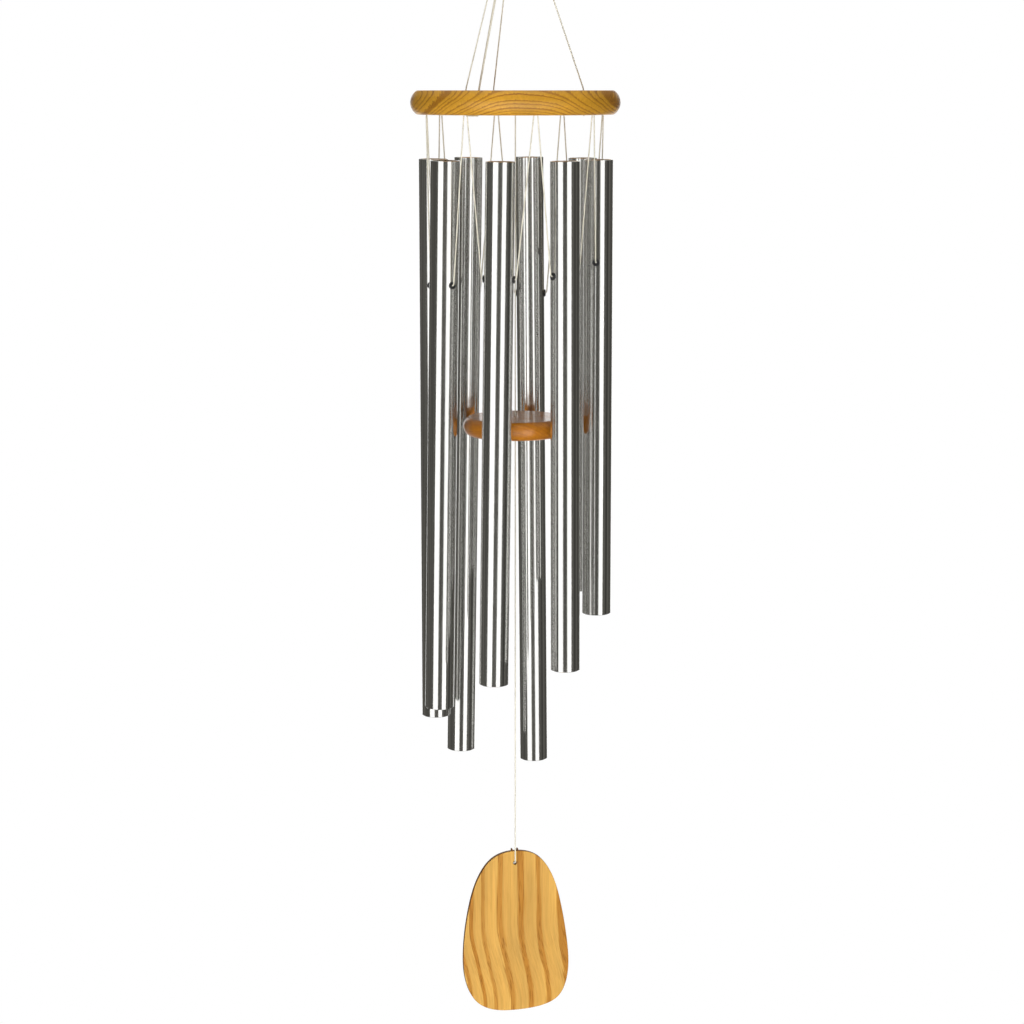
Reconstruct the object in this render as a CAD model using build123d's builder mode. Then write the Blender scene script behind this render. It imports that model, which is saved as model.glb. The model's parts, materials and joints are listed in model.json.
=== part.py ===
from build123d import *
import os
from math import cos, pi, radians, sin

os.makedirs("parts", exist_ok=True)

# Frame: the origin is the centre of the hang ring, +Z is up and -Y is the front.
# Angles round the chime start at the front and grow towards the viewer's left.

# ---- driving dimensions, in millimetres and degrees ----

cord_diameter = 1.2
cord_slack = 0.3        # air round a cord where it passes a piece it doesn't bear on
joint_gap = 0.3         # air between two pieces that turn against each other

ring_wire = 2.6
ring_eye = 20.0         # clear opening for the user's hook

bight_count = 3         # cords doubled over the ring
bight_air = 0.35        # between a bight and the wire it hangs on
whipping_drop = 2.0     # ring wire centre down to the whipping's top
whipping_height = 7.6
leg_gather = 2.4        # distance of each leg from the axis where it leaves the whipping
leg_fan = 25.0          # half angle between a cord's two legs at the whipping

disc_drop = 186.0       # ring centre down to the disc's top face
disc_diameter = 181.0
disc_thickness = 20.5
disc_edge_depth = 5.7   # how far the bulging rim stands out past the flat faces
suspension_inset = 31.5  # rim to the suspension holes
suspension_angles = (38.0, 154.0, 272.0)
suspension_spacing = 14.6
suspension_play = 1.8   # hole diameter over cord diameter
mouth_break = 0.6       # bevel on the holes' mouths, where a cord bends over them

tube_count = 8
front_tube_angle = 10.0
lace_inset = 12.0       # rim to the lacing holes
lace_spread = 1.8       # from a lacing hole's axis to each of its two cords, at the underside
knot_recess_depth = 5.5

tube_drop = 38.0        # disc underside down to the tube tops
tube_diameter = 25.4
tube_wall = 1.65
tube_edge_break = 0.3
# from the front tube round by the viewer's left: a falling, then restarting, scale
tube_lengths = (449.0, 479.5, 498.0, 541.0, 555.0, 388.0, 399.0, 439.0)
# sideways lean of each tube, from legs tied a little unequal
tube_leans = (0.8, 1.6, 0.0, -1.1, 0.5, 0.0, -0.5, -0.3)
node_share = 0.219      # the lacing holes' place down a tube, close to its still point at 0.224

cross_hole = 4.8
grommet_flange = 6.4
grommet_proud = 1.0
grommet_lip = 5.8
grommet_lip_thickness = 0.8
grommet_play = 0.8      # grommet bore over cord diameter
lace_standoff = 1.2     # from the grommet's face to the lace's corner
lace_bend = 2.4         # radius of the lace as it turns into the grommet

striker_gap = 13.8      # air between the striker's rim and the tubes
striker_thickness = 16.0
striker_edge_depth = 5.0
striker_drop = 291.0    # disc top down to the striker's middle
striker_hole_play = 1.2

sail_hole_drop = 693.0  # disc top down to the sail's hole
sail_thickness = 4.0
sail_hole = 3.4
sail_top = 11.3         # from the hole up to the top edge
sail_yaw = 14.0         # the board hangs a little turned, its left side nearer the front
# the board's edge, to the right of the hole and up from it; it is fuller low on the right
sail_outline = (
    (0, sail_top), (19.8, 6.2), (33, -9.5), (43.3, -41), (50, -82), (49.8, -113),
    (41.5, -131.5), (19, -140.2), (0, -141.2), (-15, -140.2), (-34, -132),
    (-45.2, -113), (-48.3, -82), (-43.3, -41), (-33, -9.5), (-19.8, 6.2),
)
notch_width = 3.9       # the cord lies between two small horns on the top edge
horn_width = 1.3
horn_rise = 2.0
tie_bend = 1.8          # radius of the cord as it turns into the sail's hole

# ---- places that follow from them ----

cord_radius = cord_diameter / 2
ring_radius = (ring_eye + ring_wire) / 2
wire_z = -ring_radius
whipping_top = wire_z - whipping_drop
whipping_bottom = whipping_top - whipping_height
bight_radius = ring_wire / 2 + bight_air + cord_radius
bight_spacing = cord_diameter + cord_slack
whipping_radius = bight_radius + cord_diameter

disc_top = -disc_drop
disc_under = disc_top - disc_thickness
disc_radius = disc_diameter / 2
half_pitch = 180.0 / tube_count
lace_hole_ring = disc_radius - lace_inset
tube_ring = lace_hole_ring * cos(radians(half_pitch))
suspension_ring = disc_radius - suspension_inset

knot_radius = 2.6 * cord_diameter
knot_height = 3.6 * cord_diameter
knot_recess = 2 * knot_radius + 2.0
lace_hole = 2 * (lace_spread + cord_radius) + 0.2
suspension_hole = cord_diameter + suspension_play

tube_radius = tube_diameter / 2
tube_top = disc_under - tube_drop
corner_reach = tube_radius + grommet_proud + lace_standoff

striker_radius = tube_ring - tube_radius - striker_gap
striker_top = disc_top - striker_drop + striker_thickness / 2
striker_under = striker_top - striker_thickness
striker_knot_top = striker_under - joint_gap
striker_knot_bottom = striker_knot_top - knot_height

sail_hole_z = disc_top - sail_hole_drop
sail_back_set = sail_thickness / 2 + cord_radius + 0.2  # the board hangs behind its cord
tie_top = sail_hole_z + sail_top + horn_rise + cord_diameter


# ---- helpers ----

def ring_point(radius, angle, z):
    """The point at an angle round the chime's axis."""
    a = radians(angle)
    return Vector(-radius * sin(a), -radius * cos(a), z)


def tangent(angle):
    """The level direction in which the angle grows."""
    a = radians(angle)
    return Vector(-cos(a), sin(a), 0)


def save(piece, name):
    """Label a finished piece and write its file."""
    piece.part.label = name
    export_step(piece.part, f"parts/{name}.step")


def cord(points, radii, name):
    """A tube along straight runs joined by tangent arcs, with its radii and volume printed."""
    with BuildPart() as piece:
        with BuildLine() as route:
            if radii:
                FilletPolyline(*points, radius=radii)
            else:
                Line(*points)
        path = route.wire()
        with BuildSketch(Plane(origin=path @ 0, z_dir=path % 0)):
            Circle(cord_radius)
        sweep(path=path)
    expected = path.length * pi * cord_radius ** 2
    print(f"{name}: length {path.length:.1f}, arc radii {radii},"
          f" volume over section x length {piece.part.volume / expected:.4f}")
    return piece


def turned_disc(radius, thickness, edge_depth, top):
    """A flat disc whose rim is one arc from face to face."""
    with BuildPart() as blank:
        with BuildSketch(Plane.XZ):
            with BuildLine():
                flat = radius - edge_depth
                Polyline((flat, top), (0, top), (0, top - thickness), (flat, top - thickness))
                ThreePointArc((flat, top - thickness), (radius, top - thickness / 2), (flat, top))
            make_face()
        revolve(axis=Axis.Z)
    return blank.part


def knot_body(end, radius, height, facing=(0, 0, 1)):
    """A stopper knot as a barrel with rounded ends, from its end's centre back along facing."""
    with BuildPart() as knot:
        with BuildSketch(Plane(origin=end, z_dir=facing)):
            Circle(radius)
        extrude(amount=-height)
        fillet(knot.edges(), radius * 0.4)
    return knot.part


# ---- hang ring, cord bights and whipping ----

with BuildPart() as hang_ring:
    with BuildSketch(Plane.XY):
        with Locations((ring_radius, 0)):
            Circle(ring_wire / 2)
    revolve(axis=Axis.Y)
save(hang_ring, "hang_ring")

with BuildPart() as cord_bights:
    for i in range(bight_count):
        x = (i - (bight_count - 1) / 2) * bight_spacing
        with BuildLine(Plane.YZ.offset(x)) as over_wire:
            Line((-bight_radius, whipping_top), (-bight_radius, wire_z))
            ThreePointArc((-bight_radius, wire_z), (0, wire_z + bight_radius), (bight_radius, wire_z))
            Line((bight_radius, wire_z), (bight_radius, whipping_top))
        with BuildSketch(Plane(origin=(x, -bight_radius, whipping_top), z_dir=(0, 0, 1))):
            Circle(cord_radius)
        sweep(path=over_wire.line)
save(cord_bights, "cord_bights")

with BuildPart() as whipping:
    add(knot_body((0, 0, whipping_top), whipping_radius, whipping_height))
save(whipping, "whipping")

# ---- top disc ----

suspension_pairs = []
for angle in suspension_angles:
    middle = ring_point(suspension_ring, angle, disc_top)
    side = tangent(angle) * (suspension_spacing / 2)
    suspension_pairs.append((middle - side, middle + side))

with BuildPart() as top_disc:
    add(turned_disc(disc_radius, disc_thickness, disc_edge_depth, disc_top))
    with Locations(Plane.XY.offset(disc_top)):
        with PolarLocations(lace_hole_ring, tube_count, start_angle=-90 - front_tube_angle - half_pitch):
            CounterBoreHole(lace_hole / 2, knot_recess / 2, knot_recess_depth)
        CounterBoreHole(suspension_hole / 2, knot_recess / 2, knot_recess_depth)
    with Locations(*[point for pair in suspension_pairs for point in pair]):
        Hole(suspension_hole / 2)
    chamfer(
        top_disc.edges()
        .filter_by(GeomType.CIRCLE)
        .filter_by(lambda edge: abs(edge.radius - suspension_hole / 2) < 0.01)
        .filter_by(lambda edge: edge.center().Z > disc_top - 0.01 or edge.center().Z < disc_under + 0.01),
        mouth_break,
    )
save(top_disc, "top_disc")

# ---- suspension cords: down through one hole, under the disc, and up through its pair ----

bridge_z = disc_under - cord_radius - 0.15
leg_top = whipping_bottom - joint_gap - cord_radius * 0.5
for number, (angle, (hole_a, hole_b)) in enumerate(zip(suspension_angles, suspension_pairs), 1):
    name = f"suspension_cord_{number}"
    route_points = [
        ring_point(leg_gather, angle - leg_fan, leg_top),
        hole_a,
        Vector(hole_a.X, hole_a.Y, bridge_z),
        Vector(hole_b.X, hole_b.Y, bridge_z),
        hole_b,
        ring_point(leg_gather, angle + leg_fan, leg_top),
    ]
    save(cord(route_points, [6.0, 2.4, 2.4, 6.0], name), name)

# ---- lacing knots, sunk in the disc, each with the two cord ends that run down its hole ----

recess_floor = disc_top - knot_recess_depth
with BuildPart() as lace_knots:
    for i in range(tube_count):
        hole_angle = front_tube_angle + half_pitch + i * 2 * half_pitch
        hole = ring_point(lace_hole_ring, hole_angle, recess_floor)
        add(knot_body(hole + Vector(0, 0, knot_height), knot_radius, knot_height))
        for side in (-1, 1):
            start = Vector(hole.X, hole.Y, recess_floor + cord_diameter)
            end = ring_point(lace_hole_ring, hole_angle, disc_under)
            end += tangent(hole_angle + side * half_pitch) * (side * lace_spread)
            with BuildSketch(Plane(origin=start, z_dir=end - start)):
                Circle(cord_radius)
            extrude(amount=(end - start).length)
save(lace_knots, "lace_knots")

# ---- tubes, each with its grommets and its lace ----

for i in range(tube_count):
    angle = front_tube_angle + i * 2 * half_pitch
    length = tube_lengths[i]
    lean = radians(tube_leans[i])
    level = tangent(angle)
    vertical = Vector(0, 0, 1)
    along = level * cos(lean) + vertical * sin(lean)
    up = vertical * cos(lean) - level * sin(lean)
    top = ring_point(tube_ring, angle, tube_top)
    still = top - up * (node_share * length)

    with BuildPart() as tube:
        with BuildSketch(Plane(origin=top, x_dir=along, z_dir=up)):
            Circle(tube_radius)
            Circle(tube_radius - tube_wall, mode=Mode.SUBTRACT)
        extrude(amount=-length)
        ends = tube.edges().filter_by(GeomType.CIRCLE).group_by(Axis.Z)
        chamfer(ends[0] + ends[-1], tube_edge_break)
        with BuildSketch(Plane(origin=still, x_dir=up, z_dir=along)):
            Circle(cross_hole / 2)
        extrude(amount=tube_diameter, both=True, mode=Mode.SUBTRACT)
    save(tube, f"tube_{i + 1}")

    with BuildPart() as grommets:
        with BuildSketch(Plane(origin=still, x_dir=along, z_dir=along.cross(up))):
            bore = (cord_diameter + grommet_play) / 2
            face = tube_radius + grommet_proud
            inner = tube_radius - tube_wall - grommet_lip_thickness
            seat = tube_radius - tube_wall / 2
            with BuildLine():
                Polyline(
                    (inner, bore), (face, bore), (face, grommet_flange / 2 - 0.4),
                    (face - 0.4, grommet_flange / 2), (seat, grommet_flange / 2),
                    (seat, grommet_lip / 2), (inner, grommet_lip / 2), (inner, bore),
                )
            make_face()
        revolve(axis=Axis(still, along))
        mirror(about=Plane(origin=still, z_dir=along))
        add(tube.part, mode=Mode.SUBTRACT)
    save(grommets, f"grommets_{i + 1}")

    lace_route = [
        ring_point(lace_hole_ring, angle + half_pitch, disc_under - joint_gap) - level * lace_spread,
        still + along * corner_reach,
        still - along * corner_reach,
        ring_point(lace_hole_ring, angle - half_pitch, disc_under - joint_gap) + level * lace_spread,
    ]
    save(cord(lace_route, [lace_bend, lace_bend], f"lace_cord_{i + 1}"), f"lace_cord_{i + 1}")
    print(f"tube_{i + 1}: still point {still.X:.3f} {still.Y:.3f} {still.Z:.3f},"
          f" along {along.X:.5f} {along.Y:.5f} {along.Z:.5f}")

# ---- centre line: knot in the disc, cord, striker and the knot that carries it ----

with BuildPart() as centre_knot:
    add(knot_body((0, 0, recess_floor + joint_gap + knot_height), knot_radius, knot_height))
    with BuildSketch(Plane.XY.offset(recess_floor + cord_diameter)):
        Circle(cord_radius)
    extrude(amount=-(recess_floor + cord_diameter - disc_under))
save(centre_knot, "centre_knot")

striker_line = [(0, 0, disc_under - joint_gap), (0, 0, striker_under)]
save(cord(striker_line, None, "striker_cord"), "striker_cord")

with BuildPart() as striker:
    add(turned_disc(striker_radius, striker_thickness, striker_edge_depth, striker_top))
    with Locations((0, 0, striker_top)):
        Hole((cord_diameter + striker_hole_play) / 2)
save(striker, "striker")

with BuildPart() as striker_knot:
    add(knot_body((0, 0, striker_knot_top), knot_radius, knot_height))
save(striker_knot, "striker_knot")

# ---- sail line: cord, its tied end through the sail, and the sail ----

sail_line = [(0, 0, striker_knot_bottom - joint_gap), (0, 0, tie_top + joint_gap)]
save(cord(sail_line, None, "sail_cord"), "sail_cord")

yaw = radians(sail_yaw)
across = Vector(cos(yaw), sin(yaw), 0)
back = Vector(-sin(yaw), cos(yaw), 0)
board_back = sail_back_set + sail_thickness / 2
knot_reach = board_back + cord_slack

tie_route = [
    Vector(0, 0, tie_top),
    Vector(0, 0, sail_hole_z),
    Vector(0, 0, sail_hole_z) + back * (knot_reach + cord_diameter),
]
tie_cord = cord(tie_route, [tie_bend], "sail_tie")
with BuildPart() as sail_tie:
    add(tie_cord.part)
    add(knot_body(tie_route[1] + back * knot_reach, knot_radius, knot_height, back * -1))
save(sail_tie, "sail_tie")

board_plane = Plane(Vector(0, 0, sail_hole_z) + back * board_back, x_dir=across, z_dir=back * -1)
with BuildPart() as sail:
    with BuildSketch(board_plane):
        with BuildLine():
            Spline(*sail_outline, periodic=True)
        make_face()
        with Locations((0, sail_top)):
            Rectangle(notch_width + 2 * horn_width, 2 * horn_rise)
        with Locations((0, sail_top + horn_rise)):
            Rectangle(notch_width, 2 * horn_rise, mode=Mode.SUBTRACT)
        Circle(sail_hole / 2, mode=Mode.SUBTRACT)
    extrude(amount=sail_thickness)
save(sail, "sail")

print(f"tube ring radius {tube_ring:.2f}, striker radius {striker_radius:.2f},"
      f" lowest point {sail.part.bounding_box().min.Z:.1f}")
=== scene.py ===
"""A hanging wind chime: polished tubes laced under a turned ash disc, with a striker and a sail.

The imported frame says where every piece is. Everything here is in metres, in that frame: the origin
is the centre of the hang ring, +Z is up and -Y is the front.
"""

import json
import logging
import math
from dataclasses import dataclass, field
from enum import Enum

import bmesh
import bpy
import numpy as np
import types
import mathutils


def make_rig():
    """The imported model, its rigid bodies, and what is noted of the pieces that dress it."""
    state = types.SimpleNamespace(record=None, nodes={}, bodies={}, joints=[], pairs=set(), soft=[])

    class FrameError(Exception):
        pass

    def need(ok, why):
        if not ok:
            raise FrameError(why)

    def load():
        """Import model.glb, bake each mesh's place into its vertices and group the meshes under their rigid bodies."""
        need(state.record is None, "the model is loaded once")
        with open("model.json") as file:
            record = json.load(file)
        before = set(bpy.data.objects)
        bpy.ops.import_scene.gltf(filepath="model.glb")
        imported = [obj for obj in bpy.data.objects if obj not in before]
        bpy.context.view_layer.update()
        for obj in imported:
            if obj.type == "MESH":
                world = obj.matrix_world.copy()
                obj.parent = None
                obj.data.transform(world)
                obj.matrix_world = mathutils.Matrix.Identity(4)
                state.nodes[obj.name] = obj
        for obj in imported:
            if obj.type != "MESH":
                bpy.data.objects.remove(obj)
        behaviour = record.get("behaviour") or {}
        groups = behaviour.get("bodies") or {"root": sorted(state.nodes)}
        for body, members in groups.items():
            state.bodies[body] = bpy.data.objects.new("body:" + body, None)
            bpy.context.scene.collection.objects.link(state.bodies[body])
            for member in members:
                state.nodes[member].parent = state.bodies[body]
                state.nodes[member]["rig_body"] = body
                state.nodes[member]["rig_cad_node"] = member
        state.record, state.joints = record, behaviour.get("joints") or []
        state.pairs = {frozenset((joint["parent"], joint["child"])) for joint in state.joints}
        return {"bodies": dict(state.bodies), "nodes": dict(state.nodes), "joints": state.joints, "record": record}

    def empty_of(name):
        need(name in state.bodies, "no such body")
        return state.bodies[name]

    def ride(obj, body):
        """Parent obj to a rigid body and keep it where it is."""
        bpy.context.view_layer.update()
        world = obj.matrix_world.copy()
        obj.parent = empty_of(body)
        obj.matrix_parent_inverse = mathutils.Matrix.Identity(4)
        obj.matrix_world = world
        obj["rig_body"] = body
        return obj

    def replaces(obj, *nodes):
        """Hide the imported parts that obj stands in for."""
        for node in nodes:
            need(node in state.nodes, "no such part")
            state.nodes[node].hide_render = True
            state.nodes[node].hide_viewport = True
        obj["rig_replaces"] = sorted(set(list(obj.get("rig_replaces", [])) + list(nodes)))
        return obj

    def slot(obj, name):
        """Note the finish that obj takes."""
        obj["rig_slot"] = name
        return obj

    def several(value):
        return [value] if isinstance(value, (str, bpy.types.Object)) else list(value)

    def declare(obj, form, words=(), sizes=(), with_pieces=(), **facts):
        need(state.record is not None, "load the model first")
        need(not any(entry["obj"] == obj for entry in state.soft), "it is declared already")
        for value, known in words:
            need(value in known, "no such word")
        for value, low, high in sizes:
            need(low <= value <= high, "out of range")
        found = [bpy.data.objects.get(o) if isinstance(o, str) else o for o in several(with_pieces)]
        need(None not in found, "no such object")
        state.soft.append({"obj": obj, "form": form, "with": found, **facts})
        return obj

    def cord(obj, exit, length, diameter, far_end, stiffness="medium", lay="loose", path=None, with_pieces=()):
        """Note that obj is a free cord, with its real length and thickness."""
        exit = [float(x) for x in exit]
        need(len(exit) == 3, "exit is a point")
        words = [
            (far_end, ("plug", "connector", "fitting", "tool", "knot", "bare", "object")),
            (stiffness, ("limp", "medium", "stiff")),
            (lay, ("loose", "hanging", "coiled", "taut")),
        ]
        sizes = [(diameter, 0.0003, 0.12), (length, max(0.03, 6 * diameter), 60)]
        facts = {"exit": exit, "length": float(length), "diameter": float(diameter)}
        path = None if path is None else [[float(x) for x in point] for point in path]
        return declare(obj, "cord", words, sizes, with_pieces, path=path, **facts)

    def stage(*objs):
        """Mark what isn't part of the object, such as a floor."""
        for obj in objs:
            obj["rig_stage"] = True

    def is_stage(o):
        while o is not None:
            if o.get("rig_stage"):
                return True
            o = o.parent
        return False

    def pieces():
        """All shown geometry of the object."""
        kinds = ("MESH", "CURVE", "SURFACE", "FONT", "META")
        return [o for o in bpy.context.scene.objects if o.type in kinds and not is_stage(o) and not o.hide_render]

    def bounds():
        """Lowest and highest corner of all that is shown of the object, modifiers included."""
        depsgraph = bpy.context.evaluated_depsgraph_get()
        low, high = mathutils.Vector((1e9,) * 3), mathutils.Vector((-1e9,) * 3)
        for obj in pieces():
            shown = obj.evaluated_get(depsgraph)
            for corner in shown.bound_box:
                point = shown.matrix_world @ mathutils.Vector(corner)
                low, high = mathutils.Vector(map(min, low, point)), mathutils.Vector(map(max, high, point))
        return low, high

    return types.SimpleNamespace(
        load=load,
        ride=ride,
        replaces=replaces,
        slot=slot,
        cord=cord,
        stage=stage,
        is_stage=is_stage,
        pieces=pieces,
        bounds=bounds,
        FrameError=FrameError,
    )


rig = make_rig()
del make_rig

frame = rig.load()
CAD_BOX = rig.bounds()

MM = 0.001
UP = np.array([0.0, 0.0, 1.0])
FRONT = np.array([0.0, -1.0, 0.0])
SIZE_FILE = "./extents.json"

log = logging.getLogger("wind chime")


# ---- the frame ----

def unit(vector: np.ndarray) -> np.ndarray:
    """The vector at length one."""
    return vector / np.linalg.norm(vector)


@dataclass(frozen=True)
class Hinge:
    """A joint of the frame: a point on its axis, and the axis."""

    place: np.ndarray
    axis: np.ndarray


def hinge(name: str) -> Hinge:
    """Find a joint of the frame.

    Args:
        name: the joint's name.

    Returns:
        Its place and its axis.
    """
    joint = next(j for j in frame["joints"] if j["name"] == name)
    return Hinge(np.array(joint["pos_m"], float), unit(np.array(joint["axis"], float)))


def node_points(node: str) -> np.ndarray:
    """Read a CAD node's vertices.

    Args:
        node: the node's name.

    Returns:
        An array of points, one a row.
    """
    vertices = frame["nodes"][node].data.vertices
    flat = np.empty(len(vertices) * 3)
    vertices.foreach_get("co", flat)
    return flat.reshape(-1, 3)


def node_span(node: str, axis: np.ndarray) -> tuple[float, float]:
    """How far a CAD node reaches along an axis.

    Args:
        node: the node's name.
        axis: a direction of length one.

    Returns:
        Its lowest and highest places along the axis.
    """
    reach = node_points(node) @ axis
    return float(reach.min()), float(reach.max())


def ring_point(radius: float, angle: float, height: float) -> np.ndarray:
    """The point at an angle round the chime, from the front and growing to the viewer's left."""
    turn = math.radians(angle)
    return np.array([-radius * math.sin(turn), -radius * math.cos(turn), height])


def ring_tangent(angle: float) -> np.ndarray:
    """The level direction in which that angle grows."""
    turn = math.radians(angle)
    return np.array([-math.cos(turn), math.sin(turn), 0.0])


# ---- surfaces ----

@dataclass
class Shell:
    """Grids of points, gathered into one closed mesh.

    Each point carries its own pattern place, which the finishes read as the attribute "local", and
    a tone from 0 to 1, which they read as "tone".
    """

    points: list[np.ndarray] = field(default_factory=list)
    locals: list[np.ndarray] = field(default_factory=list)
    tones: list[np.ndarray] = field(default_factory=list)
    # tones: each point's share of painted shade, in the edge colour of the ash finishes
    quads: list[np.ndarray] = field(default_factory=list)
    count: int = 0

    def add_grid(
        self,
        grid: np.ndarray,
        wrap_rows: bool = False,
        wrap_columns: bool = False,
        keep: np.ndarray | None = None,
        local: np.ndarray | None = None,
        tone: np.ndarray | float = 0.0,
    ) -> None:
        """Add a grid of points and the quads between neighbours.

        Args:
            grid: rows by columns by 3.
            wrap_rows: the last row joins the first.
            wrap_columns: the last column joins the first.
            keep: which cells get a quad, rows by columns, or None for all of them.
            local: the pattern place of each point, or None for the points themselves.
            tone: the tone of each point, or one for all of them.
        """
        rows, columns = grid.shape[:2]
        index = self.count + np.arange(rows * columns).reshape(rows, columns)
        below, right = np.roll(index, -1, axis=0), np.roll(index, -1, axis=1)
        cells = np.stack([index, below, np.roll(below, -1, axis=1), right], axis=-1)
        mask = np.ones((rows, columns), bool) if keep is None else keep.copy()
        if not wrap_rows:
            mask[-1] = False
        if not wrap_columns:
            mask[:, -1] = False
        self.quads.append(cells[mask])
        self.points.append(grid.reshape(-1, 3))
        self.locals.append((grid if local is None else local).reshape(-1, 3))
        self.tones.append(np.broadcast_to(tone, (rows, columns)).reshape(-1))
        self.count += rows * columns

    def to_object(
        self, name: str, material: bpy.types.Material | None, sharp: float = 35.0, merge: float = 2e-6
    ) -> bpy.types.Object:
        """Make the mesh: doubles merged, poles closed and faces turned outwards.

        Args:
            name: the new object's name.
            material: its finish, or None.
            sharp: the angle in degrees past which an edge is shaded as a crease.
            merge: the distance in metres under which two points are one.

        Returns:
            An object at the origin, linked to the scene.
        """
        points, quads = np.concatenate(self.points), np.concatenate(self.quads)
        mesh = bpy.data.meshes.new(name)
        mesh.vertices.add(len(points))
        mesh.vertices.foreach_set("co", points.ravel())
        mesh.loops.add(quads.size)
        mesh.loops.foreach_set("vertex_index", quads.ravel().astype(np.int32))
        mesh.polygons.add(len(quads))
        mesh.polygons.foreach_set("loop_start", np.arange(0, quads.size, 4, dtype=np.int32))
        mesh.update(calc_edges=True)
        local = mesh.attributes.new("local", "FLOAT_VECTOR", "POINT")
        local.data.foreach_set("vector", np.concatenate(self.locals).ravel())
        tone = mesh.attributes.new("tone", "FLOAT", "POINT")
        tone.data.foreach_set("value", np.concatenate(self.tones))
        work = bmesh.new()
        work.from_mesh(mesh)
        bmesh.ops.remove_doubles(work, verts=work.verts, dist=merge)
        bmesh.ops.recalc_face_normals(work, faces=work.faces)
        work.to_mesh(mesh)
        work.free()
        return dressed(name, mesh, material, sharp)


def dressed(
    name: str, mesh: bpy.types.Mesh, material: bpy.types.Material | None, sharp: float = 35.0
) -> bpy.types.Object:
    """Shade a mesh smooth between its creases, give it a finish and link it to the scene.

    Args:
        name: the new object's name.
        mesh: its mesh.
        material: its finish, or None.
        sharp: the crease angle in degrees.

    Returns:
        An object at the origin.
    """
    mesh.polygons.foreach_set("use_smooth", np.ones(len(mesh.polygons), bool))
    mesh.set_sharp_from_angle(angle=math.radians(sharp))
    mesh.materials.clear()
    if material is not None:
        mesh.materials.append(material)
    piece = bpy.data.objects.new(name, mesh)
    bpy.context.scene.collection.objects.link(piece)
    return piece


def install(piece: bpy.types.Object, body: str, slot: str, *nodes: str) -> bpy.types.Object:
    """Hang a finished piece on its body in place of its CAD nodes, and report it.

    Args:
        piece: the finished piece.
        body: the CAD body that it moves with.
        slot: the record's material slot.
        nodes: the CAD nodes that it stands for.

    Returns:
        The piece.
    """
    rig.ride(piece, body)
    if nodes:
        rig.replaces(piece, *nodes)
    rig.slot(piece, slot)
    log.info("%s on %s, %d faces", piece.name, body, len(piece.data.polygons))
    return piece


def around_axis(profile: np.ndarray, columns: int) -> np.ndarray:
    """Turn a profile round the vertical axis.

    A point (r, z) of the profile becomes (r cos a, r sin a, z) for equally spaced angles a.

    Args:
        profile: radius and height, one point a row.
        columns: how many angles.

    Returns:
        A grid of profile points by angles.
    """
    angle = np.linspace(0, 2 * math.pi, columns, endpoint=False)
    radius, height = profile[:, :1], profile[:, 1:]
    return np.stack(
        [radius * np.cos(angle), radius * np.sin(angle), np.broadcast_to(height, (len(profile), columns))],
        axis=-1,
    )


def spaced(points: np.ndarray, step: float) -> np.ndarray:
    """Walk a line in equal steps.

    Args:
        points: the line's points, one a row.
        step: about how far apart the new ones are.

    Returns:
        Points on the same line, its two ends among them.
    """
    reach = np.concatenate([[0.0], np.cumsum(np.linalg.norm(np.diff(points, axis=0), axis=1))])
    at = np.linspace(0, reach[-1], max(2, round(reach[-1] / step) + 1))
    return np.column_stack([np.interp(at, reach, column) for column in points.T])


def line_length(points: np.ndarray) -> float:
    """The length of a line through points."""
    return float(np.linalg.norm(np.diff(points, axis=0), axis=1).sum())


def softened(outline: np.ndarray, window: float, step: float = 0.2 * MM) -> np.ndarray:
    """Round the corners of a closed outline and keep only the points that its shape needs.

    The outline is walked in equal steps and averaged over a running window. A point is kept each
    time the line has turned 5 degrees or run 9 mm further.

    Args:
        outline: corner points, the first not repeated at the end.
        window: the length of the running mean.
        step: the walk's step.

    Returns:
        The rounded outline's points.
    """
    walk = spaced(np.vstack([outline, outline[:1]]), step)[:-1]
    half = max(1, round(window / step / 2))
    smooth = sum(np.roll(walk, shift, axis=0) for shift in range(-half, half + 1)) / (2 * half + 1)
    ahead = np.roll(smooth, -1, axis=0) - smooth
    run = np.linalg.norm(ahead, axis=1)
    heading = np.arctan2(ahead[:, 1], ahead[:, 0])
    turn = np.abs((np.roll(heading, -1) - heading + math.pi) % (2 * math.pi) - math.pi)
    need = np.cumsum(turn / math.radians(5.0) + run / (9 * MM))
    return smooth[np.unique(np.searchsorted(need, np.arange(0, need[-1])))]


# ---- cords ----

class Knot(Enum):
    """How many cords a knot is tied in."""

    SINGLE = 1
    DOUBLED = 2


def smooth_route(points: list[np.ndarray], resolution: int = 16) -> np.ndarray:
    """Read the smooth line that a cord's control points make.

    The line is a quadratic spline that starts and ends at its end points.

    Args:
        points: the route's control points.
        resolution: points read in each span.

    Returns:
        Points along the line.
    """
    curve = bpy.data.curves.new("route", "CURVE")
    curve.dimensions = "3D"
    spline = curve.splines.new("NURBS")
    spline.points.add(len(points) - 1)
    for place, point in zip(spline.points, points):
        place.co = (*point, 1.0)
    spline.order_u = 3
    spline.use_endpoint_u = True
    spline.resolution_u = resolution
    holder = bpy.data.objects.new("route", curve)
    mesh = bpy.data.meshes.new_from_object(holder)
    line = np.array([tuple(vertex.co) for vertex in mesh.vertices])
    bpy.data.objects.remove(holder)
    bpy.data.curves.remove(curve)
    bpy.data.meshes.remove(mesh)
    return line


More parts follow.
